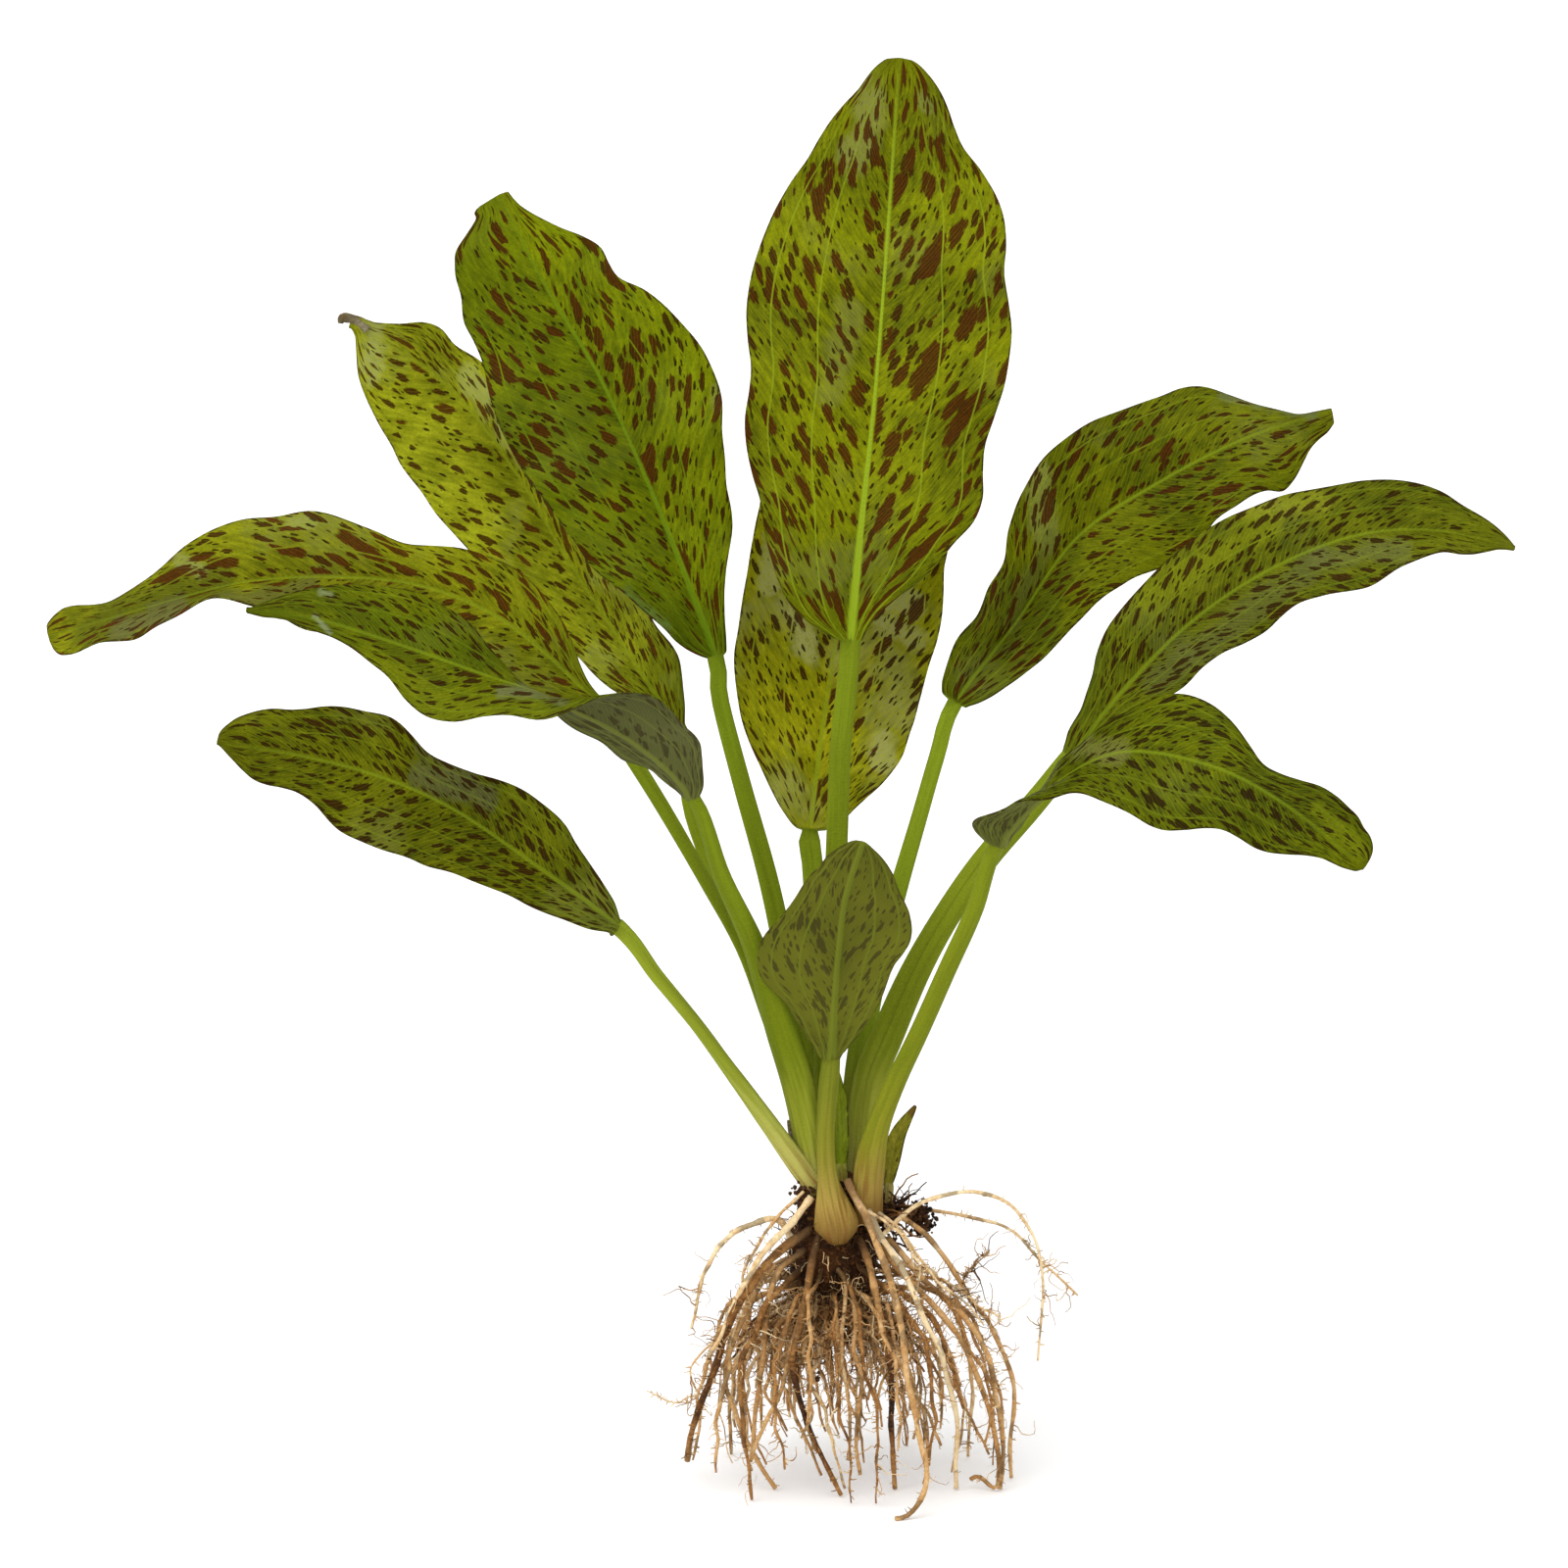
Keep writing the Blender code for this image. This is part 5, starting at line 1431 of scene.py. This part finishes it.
LOOSE_ROOTS = (
    LooseRoot("stray_left", ((-12.6, -6.4, 61.5), (-17, -8.5, 67), (-27.5, -10, 63), (-33.5, -10, 54.5),
                             (-37, -9, 40)), 0.9, 0.32, 0.1, ("root_stray_left",)),
    LooseRoot("stray_right", ((8, -7.4, 61.5), (19, -8, 71), (32.5, -8, 73.5), (42, -7, 68), (48, -6, 54),
                              (47, -5, 31)), 0.6, 0.25, 0.1, ("root_stray_right",)),
    LooseRoot("stray_far_right", ((8.4, 3.2, 61), (18, 4, 66), (39.5, 4, 62), (49, 4, 52.5), (57, 4, 45)),
              0.55, 0.25, 0.2, ("root_stray_far_right",)),
    LooseRoot("cream_left", ((-8, -9, 72.4), (-12.4, -11.9, 67.2), (-17.2, -14.7, 62.6), (-21.6, -17, 57.6),
                             (-24.7, -17.3, 52.1), (-28, -17.5, 44.9), (-30.1, -17.8, 39.4),
                             (-32.9, -18, 35.1)), 0.95, 0.42, 0.12),
    LooseRoot("long_left", ((-8, -9, 64.6), (-14.6, -11.2, 60.6), (-18.8, -13.5, 57.2), (-22.6, -15.8, 52.2),
                            (-26.3, -18, 47.2), (-28.7, -17, 40.4), (-30.1, -16, 34.6), (-32.5, -15, 28),
                            (-35.1, -14, 21.2), (-37.3, -13, 13.6), (-38, -12, 7.8)), 1.15, 0.7,
              (0.45, 0.5, 0.6, 0.75, 0.8, 0.75, 0.4)),
    LooseRoot("left_bend", ((-16.9, -12, 56.6), (-22.6, -13.1, 47.2), (-28, -14.1, 35.1), (-28.7, -14.8, 28),
                            (-26.4, -13.7, 20.7), (-23.8, -12.6, 13.6), (-20, -11.6, 5.9),
                            (-16.7, -10.5, 0.6)), 0.6, 0.6, 0.3),
    LooseRoot("left_in", ((-9.4, -9, 59.5), (-15.5, -11.5, 55.3), (-17.9, -14, 49.8), (-18.8, -15.9, 43.3),
                          (-20, -15.4, 32.3), (-21, -15, 24.1), (-21.7, -14.5, 18.4), (-21.9, -14, 11.2)),
              0.8, 0.55, 0.36),
    LooseRoot("left_cross", ((-8.4, -14, 49.8), (-12.5, -18, 39.5), (-15, -22, 28.4), (-18.8, -20.7, 20.1),
                             (-21.6, -19.3, 13.6), (-22.6, -18, 9.4)), 0.55, 0.5, 0.3),
    LooseRoot("left_thin", ((-9.8, -7, 73.4), (-15.8, -9.1, 68), (-21.2, -11.2, 60.1), (-24.7, -12.3, 54.3),
                            (-24, -12.9, 47.2), (-25.9, -13.4, 42.4), (-27.6, -14, 36.5)), 0.45, 0.25, 0.2),
    LooseRoot("centre_left", ((-5.8, -9, 64.4), (-8, -12.9, 56.1), (-9.2, -16.8, 49.8), (-10.8, -20.7, 43),
                              (-12.9, -22.5, 35.1), (-11.7, -21.3, 28.2), (-9.6, -20.1, 21.1),
                              (-7, -18.9, 14), (-3.7, -17.7, 7.1), (-0.8, -16.5, 0.6)), 0.95, 0.55,
              (0.55, 0.5, 0.5, 0.6, 0.85, 0.9, 0.75, 0.45)),
    LooseRoot("centre", ((-2.3, -9, 55.9), (1.7, -14, 50.1), (2.8, -19, 44.1), (2.1, -22.8, 37.3),
                         (4, -21.9, 30.5), (3.3, -20.9, 22.5), (2.9, -20, 14.3), (3.8, -19, 6.3)),
              0.6, 0.45, 0.32),
    LooseRoot("centre_dark", ((3.4, -8, 62.5), (5.5, -12.4, 58.2), (7.1, -16.8, 52.4), (9.2, -21.1, 42.4),
                              (10.8, -20.1, 33.5), (11.1, -17.7, 24.9), (11.4, -15.3, 16), (12, -12.9, 6.8),
                              (12.3, -10.5, 0.6)), 0.95, 0.6, (0.55, 0.45, 0.4, 0.6, 0.95, 0.9, 0.6, 0.5)),
    LooseRoot("orange", ((0.6, -10.5, 77), (2.4, -12.6, 73.2), (5, -15, 69.1), (7.5, -17.8, 63.3),
                         (9.8, -20.5, 57.9), (11.9, -23.2, 51.9), (13.5, -26, 45.8), (14.5, -27.3, 38.4),
                         (14.9, -28.6, 31.5), (16.5, -29.9, 24.9), (17.7, -31.2, 18.5), (19.3, -32.4, 12.1),
                         (19.3, -33.7, 8.1), (17.7, -35, 4.1), (14.9, -36.3, 1.1), (12, -37.6, 0.6)),
              0.95, 0.6, 0.3),
    LooseRoot("cream_right", ((5.7, -9, 69.5), (7.1, -12.4, 66.9), (9.9, -15.8, 62.1), (13.6, -19.2, 56.9),
                              (16.6, -22.6, 51.2), (19.9, -22.8, 44), (23.3, -20.7, 36.8), (25, -18.7, 29.7),
                              (26.7, -16.6, 22.4), (27.1, -14.6, 16.3), (26.9, -12.5, 7.9),
                              (27.2, -10.5, 0.6)), 0.8, 0.55, 0.06),
    LooseRoot("right_hook", ((4.5, -11, 69.9), (9.2, -14.5, 68.1), (13.6, -18, 65), (16.7, -18.7, 60.1),
                             (17.8, -19.3, 56.9), (17.4, -20, 51.8)), 0.4, 0.22, 0.15),
    LooseRoot("right_thin", ((7.9, -8, 68.7), (12.6, -10.5, 65.5), (17.3, -13, 59.3), (22, -13.7, 53.4),
                             (26, -13.1, 50.1), (30.3, -12.6, 45.9), (33.6, -12, 41.6)), 0.45, 0.22, 0.15),
    LooseRoot("right_outer", ((13.4, -3, 66.6), (19.3, -3.5, 62.1), (23.6, -3.9, 57.1), (27.4, -4.4, 51.6),
                              (31.2, -4.8, 45.7), (34.6, -4.6, 41.7), (36.8, -3.9, 37.2), (39, -3.2, 31.4),
                              (41.2, -2.5, 24.8), (41.2, -1.9, 18), (40.4, -1.2, 9.3), (40.9, -0.5, 0.5)),
              0.7, 0.5, 0.28),
    LooseRoot("right_mid", ((10.3, -5, 61.8), (16.2, -7, 55.4), (19.3, -9, 51.8), (24.7, -11, 47.2),
                            (29.4, -13, 42.6), (32.7, -12.7, 38.1), (35.3, -12.3, 31.5), (37, -12, 23.4),
                            (38.3, -11.7, 15.5), (38.3, -11.3, 6.4), (37.7, -11, 0.6)), 0.85, 0.55, 0.3),
    LooseRoot("right_in", ((8.6, -7, 60.3), (12.6, -9.5, 55.5), (16.8, -12, 51.3), (23.4, -14.5, 44.6),
                           (28.3, -17, 39.2), (30.9, -17.2, 32.7), (33.8, -15.8, 24.4), (36.1, -14.5, 16.2),
                           (37.3, -13.1, 6.8), (36.7, -11.7, 0.8), (32.9, -10.4, 3.4), (30.8, -9, 2.5)),
              0.85, 0.5, 0.38),
    LooseRoot("right_short", ((10.1, -18, 48.4), (13.7, -20, 33.2), (16.7, -22, 26), (19.6, -21.3, 22.7),
                              (21.7, -20.7, 17.9), (23.2, -20, 13.8)), 0.5, 0.35, 0.3),
    LooseRoot("right_low", ((20.8, -14, 45), (25.1, -16, 35.8), (27.6, -18, 28.8), (29.4, -16, 21.7),
                            (32.8, -14, 14.4), (35, -12, 9.5)), 0.5, 0.3, 0.35),
    LooseRoot("mid_thin", ((0.1, -10, 53.7), (0.3, -16, 47.9), (-0.9, -22, 39.7), (0, -20.7, 29.7),
                           (1.5, -19.3, 19.7), (1, -18, 9.6)), 0.5, 0.35, 0.25),
    LooseRoot("curl_left", ((-28.5, -14, 35.3), (-31.8, -14, 37.3), (-35.4, -14, 34.3), (-37.3, -14, 31.7),
                            (-36.8, -13.7, 27.9), (-34.7, -13.2, 24.4), (-37.5, -12.8, 23.8),
                            (-40.8, -12.4, 22.3), (-47.7, -12, 25.3)), 0.28, 0.14, 0.2),
    LooseRoot("curl_right", ((24, -8, 52), (28, -9, 49.1), (31.8, -10, 46.4), (35.1, -10, 44.5),
                             (37.5, -10, 42.8), (37.3, -10, 41.6)), 0.3, 0.16, 0.15),
    LooseRoot("twig_right", ((26.2, -6, 48.4), (29.3, -6, 52.3), (32.3, -6, 56.6), (34.9, -6, 58.3)),
              0.2, 0.12, 0.35),
)


@dataclass
class LooseRoots:
    """Roots placed one by one where they stand out from the fan."""

    points: int = 56
    stubs: int = 8
    stub_length: tuple[float, float] = (2.0, 7.0)
    stub_radius: tuple[float, float] = (0.1, 0.22)
    nubs: int = 40

    def build(self, roots: bpy.types.Material) -> list[Strand]:
        """Model each loose root and their side roots.

        Args:
            roots: Their material.

        Returns:
            The loose strands.
        """
        rng = np.random.default_rng(SEED + 4)
        place = np.linspace(0, 1, self.points)
        made, stubs = [], []
        for root in LOOSE_ROOTS:
            points = wandering(even_route(root.knots, place), rng, 0.5)
            swell = 1 + 0.1 * np.sin(math.tau * (place * rng.uniform(4, 8) + rng.uniform())) \
                + 0.06 * np.sin(math.tau * (place * 17 + rng.uniform()))
            radii = (root.start + (root.end - root.start) * place) * swell
            points[:, 2] = np.maximum(points[:, 2], radii)
            tone = np.interp(place, np.linspace(0, 1, np.size(root.tone)), np.atleast_1d(root.tone))
            made.append(Strand(points, radii, tone))
            for _ in range(self.stubs):
                at = rng.integers(4, self.points - 4)
                lean = unit(np.array((0, -0.3, -0.5)) + rng.normal(0, 0.7, 3))
                stubs.append(curly(rng, points[at], lean, rng.uniform(*self.stub_length),
                                   rng.uniform(*self.stub_radius), float(rng.uniform(0.05, 0.5)), 8, 0.4))
            stubs += nubs(rng, made[-1], self.nubs)
        for root, strand in zip(LOOSE_ROOTS, made):
            finish_piece(strand_mesh(f"{root.name}_strand", [strand], 3), roots, "root_tan", *root.nodes)
        finish_piece(strand_mesh("loose_root_stubs", stubs, 0), roots, "root_tan")
        return made


@dataclass
class RootTangle:
    """Mass of second and fine roots between the main ones, with earth held in it.

    profile has height, half-width across and half-depth front to back. Second roots start in the
    crown at second_tops and end at second_tips, or for the share long_ones at long_tips. Fine roots
    start below fine_top and thin out downwards between the two thin_out heights.
    """

    axis: float = CROWN_X
    profile: tuple = ((0.0, 26.0, 16.0), (8.0, 28.5, 19.5), (18.0, 29.0, 22.0), (28.0, 27.0, 22.5),
                      (37.0, 21.5, 19.5), (43.0, 14.5, 13.5), (46.2, 8.0, 8.0), (56.0, 7.0, 7.0))
    seconds: int = 150
    second_tops: tuple[float, float] = (45.0, 58.0)
    second_tips: tuple[float, float] = (14.0, 40.0)
    second_radius: tuple[float, float] = (0.28, 0.72)
    long_ones: float = 0.07
    long_tips: tuple[float, float] = (0.6, 12.0)
    crown_foot: float = 46.0
    crown_reach: float = 7.0
    laterals: int = 3000
    fine_top: float = 58.0
    fine_length: tuple[float, float] = (3.0, 12.0)
    fine_radius: tuple[float, float] = (0.09, 0.21)
    thin_out: tuple[float, float] = (36.0, 22.0)
    crumbs: int = 260
    clumps: tuple = (((17.8, 0.0, 66.5), (1.5, 1.0, 1.6), 170), ((20.0, 0.0, 63.5), (1.2, 0.9, 1.0), 60),
                     ((-8.8, -6.0, 73.4), (1.7, 0.5, 1.2), 90), ((11.0, -1.0, 66.0), (1.4, 1.5, 2.2), 90))
    tones: tuple = (0.08, 0.18, 0.26, 0.32, 0.38, 0.44, 0.52, 0.62, 0.8)
    pale_below: float = 24.0
    soil: EarthFinish = EarthFinish("earth", dark=(30, 20, 13), light=(74, 48, 28), fleck=(120, 84, 52))

    def reach(self, height, angle) -> np.ndarray:
        """Distance from the axis to the outside of the mass at a height and direction."""
        levels, across, deep = np.array(self.profile).T
        wide, thick = np.interp(height, levels, across), np.interp(height, levels, deep)
        return wide * thick / np.sqrt((thick * np.cos(angle)) ** 2 + (wide * np.sin(angle)) ** 2)

    def second_roots(self, rng: np.random.Generator) -> list[Strand]:
        """Roots from the crown through the mass, half of them along its outside."""
        strands = []
        share = np.linspace(0, 1, 24)
        for index in range(self.seconds):
            angle = math.tau * (index + rng.uniform()) / self.seconds
            low = rng.uniform(*(self.long_tips if rng.uniform() < self.long_ones else self.second_tips))
            high = rng.uniform(*self.second_tops)
            depth = rng.uniform(0.4, 0.85) if index % 2 else rng.uniform(0.85, 1.02)
            height = high + (low - high) * share ** 1.15
            swing = angle + rng.uniform(-0.5, 0.5) * share ** 1.4
            beyond = np.maximum(self.reach(height, swing) * depth, self.crown_reach) - self.crown_reach
            out = self.crown_reach + beyond * smooth_step(share, 0.0, 0.42)
            lean = self.axis * np.clip(height / self.crown_foot, 0, 1)
            points = np.stack((lean + out * np.cos(swing), out * np.sin(swing), height), axis=1)
            points = wandering(points, rng, rng.uniform(1.2, 3.0))
            radius = rng.uniform(*self.second_radius)
            radii = radius * (1 - 0.5 * share) * (1 + 0.12 * np.sin(math.tau * (share * 5 + rng.uniform())))
            points[:, 2] = np.maximum(points[:, 2], radii)
            tones = self.tones[1:6] if low < self.pale_below else self.tones[1:]
            strands.append(Strand(points, radii, float(rng.choice(tones))))
        return strands

    def lateral_roots(self, rng: np.random.Generator, carriers: list[Strand]) -> list[Strand]:
        """Fine curly roots that set out from points of the thicker ones."""
        strands = []
        for _ in range(self.laterals):
            carrier = carriers[rng.integers(len(carriers))]
            start = carrier.points[rng.integers(3, len(carrier.points))]
            if start[2] > self.fine_top:
                continue
            low = float(smooth_step(start[2], *self.thin_out))
            if rng.uniform() < 0.88 * low:
                continue
            out = unit(start - np.array((self.axis, 0.0, start[2])))
            lean = unit(out * 0.3 + np.array((0, 0, rng.uniform(-0.9, 0.3))) + rng.normal(0, 0.7, 3))
            strands.append(curly(rng, start, lean, rng.uniform(*self.fine_length),
                                 rng.uniform(*self.fine_radius),
                                 float(rng.choice(self.tones)) * (1 - 0.5 * low), 11, 0.42))
        return strands

    def earth(self, rng: np.random.Generator, carriers: list[Strand]) -> bpy.types.Object:
        """Crumbs of earth caught among the roots, each a rough ball of few faces."""
        deselect()
        bpy.ops.mesh.primitive_ico_sphere_add(subdivisions=1, radius=1.0)
        seed = bpy.context.object
        seed.name = seed.data.name = "earth_crumbs"
        ball = np.array([vertex.co[:] for vertex in seed.data.vertices])
        faces = np.array([face.vertices[:] for face in seed.data.polygons])
        spots = []
        while len(spots) < self.crumbs:
            carrier = carriers[rng.integers(len(carriers))]
            spot = carrier.points[rng.integers(1, len(carrier.points))]
            if spot[2] > rng.uniform(24.0, 50.0):
                spots.append(spot + rng.normal(0, 1.0, 3))
        for middle, spread, count in self.clumps:
            spots += list(np.array(middle) + rng.normal(0, 1, (count, 3)) * spread)
        points, loops = [], []
        for index, spot in enumerate(spots):
            size = rng.uniform(0.2, 0.9) * (1.0, 0.9, 0.7)[index % 3]
            lump = spot + ball * size * rng.uniform(0.65, 1.2, ball.shape)
            lump[:, 2] = np.maximum(lump[:, 2], 0.02)
            loops.append(faces + len(ball) * index)
            points.append(lump)
        mesh = bpy.data.meshes.new("earth_crumbs")
        mesh.from_pydata((np.concatenate(points) * MM).tolist(), [], np.concatenate(loops).tolist())
        seed.data = mesh
        return seed

    def build(self, effects: Effects, roots: bpy.types.Material, main: list[Strand],
              loose: list[Strand]) -> None:
        """Model the tangle and dress it.

        Args:
            effects: The shared node groups.
            roots: Material of the roots.
            main: The main roots.
            loose: The roots placed one by one.
        """
        rng = np.random.default_rng(SEED + 5)
        seconds = self.second_roots(rng)
        finish_piece(strand_mesh("second_roots", seconds, 1), roots, "root_mass_brown", "root_mass")
        fine = self.lateral_roots(rng, seconds * 3 + main * 4 + loose * 3)
        half = len(fine) // 2
        finish_piece(strand_mesh("fine_roots", fine[:half], 0), roots, "root_mass_brown")
        finish_piece(strand_mesh("fine_roots_outer", fine[half:], 0), roots, "root_mass_brown")
        finish_piece(self.earth(rng, seconds), self.soil.build(effects), "root_mass_brown")


# ---------------------------------------------------------------- studio

@dataclass
class Studio:
    """White floor, soft light and the camera."""

    floor_size: float = 30.0
    floor_tone: Colour = (247, 247, 247)
    floor_light: Colour = (250, 250, 250)
    floor_glow: float = 0.09
    sky: float = 0.84
    sun: float = 2.0
    sun_turn: tuple = (38.0, 0.0, -32.0)
    sun_spread: float = 60.0
    camera_place: tuple = (-0.01457, -1.48153, 0.40644)
    camera_tilt: float = 81.0
    lens: float = 143.6

    def build(self, effects: Effects) -> None:
        """Make the camera, the lights and the floor.

        Args:
            effects: The shared node groups.
        """
        self._camera()
        self._lights()
        self._floor(effects)
        bpy.context.scene.view_settings.view_transform = "Standard"

    def _camera(self) -> None:
        """Long lens a little above the plant's middle, as the photograph is taken."""
        data = bpy.data.cameras.new("camera")
        data.sensor_width = 36.0
        data.lens = self.lens
        data.clip_end = 100.0
        camera = bpy.data.objects.new("camera", data)
        camera.location = self.camera_place
        camera.rotation_euler = (math.radians(self.camera_tilt), 0.0, 0.0)
        bpy.context.scene.collection.objects.link(camera)
        bpy.context.scene.camera = camera

    def _lights(self) -> None:
        """A white surround and one very wide, soft light from above the front, a little to the left."""
        world = bpy.data.worlds.new("studio")
        world.use_nodes = True
        world.node_tree.nodes["Background"].inputs["Color"].default_value = (1.0, 1.0, 1.0, 1.0)
        world.node_tree.nodes["Background"].inputs["Strength"].default_value = self.sky
        bpy.context.scene.world = world
        data = bpy.data.lights.new("soft_sun", "SUN")
        data.energy = self.sun
        data.angle = math.radians(self.sun_spread)
        lamp = bpy.data.objects.new("soft_sun", data)
        lamp.rotation_euler = [math.radians(angle) for angle in self.sun_turn]
        bpy.context.scene.collection.objects.link(lamp)

    def _floor(self, effects: Effects) -> None:
        """Wide pale floor with a hardly visible mottle, glowing faintly: painted light that lifts the shadows
        on it and lights the plant a little from below.
        """
        deselect()
        bpy.ops.mesh.primitive_plane_add(size=self.floor_size)
        floor = bpy.context.object
        floor.name = "floor"
        material, graph, shader = new_material("floor_white")
        clouds = graph.place_group(effects.mottle, {"Vector": graph.object_place(), "Broad": 2.0,
                                                    "Fine": 30.0}).outputs
        white = graph.mix(graph.times(clouds["Cloud"], 0.3), self.floor_tone, self.floor_light)
        graph.feed(shader.inputs["Base Color"], white)
        # The floor glows: painted light that lifts the shadows on it.
        graph.feed(shader.inputs["Emission Color"], white)
        shader.inputs["Emission Strength"].default_value = self.floor_glow
        graph.feed(shader.inputs["Roughness"], graph.math("MULTIPLY_ADD", clouds["Speck"], 0.08, 0.7))
        floor.data.materials.append(material)


def write_sizes() -> None:
    """Bring the scene up to date."""
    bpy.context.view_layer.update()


def main() -> None:
    """Build the studio and the plant in order."""
    logging.basicConfig(level=logging.INFO, format="%(message)s")
    effects = Effects()
    Studio().build(effects)
    for leaf in LEAVES:
        leaf.build(effects)
    DryTips().build(effects)
    roots = RootFinish().build(effects)
    Crown().build(effects, roots)
    main_roots = MainRoots().build(roots)
    loose_roots = LooseRoots().build(roots)
    RootTangle().build(effects, roots, main_roots, loose_roots)
    write_sizes()


if __name__ == "__main__":
    main()
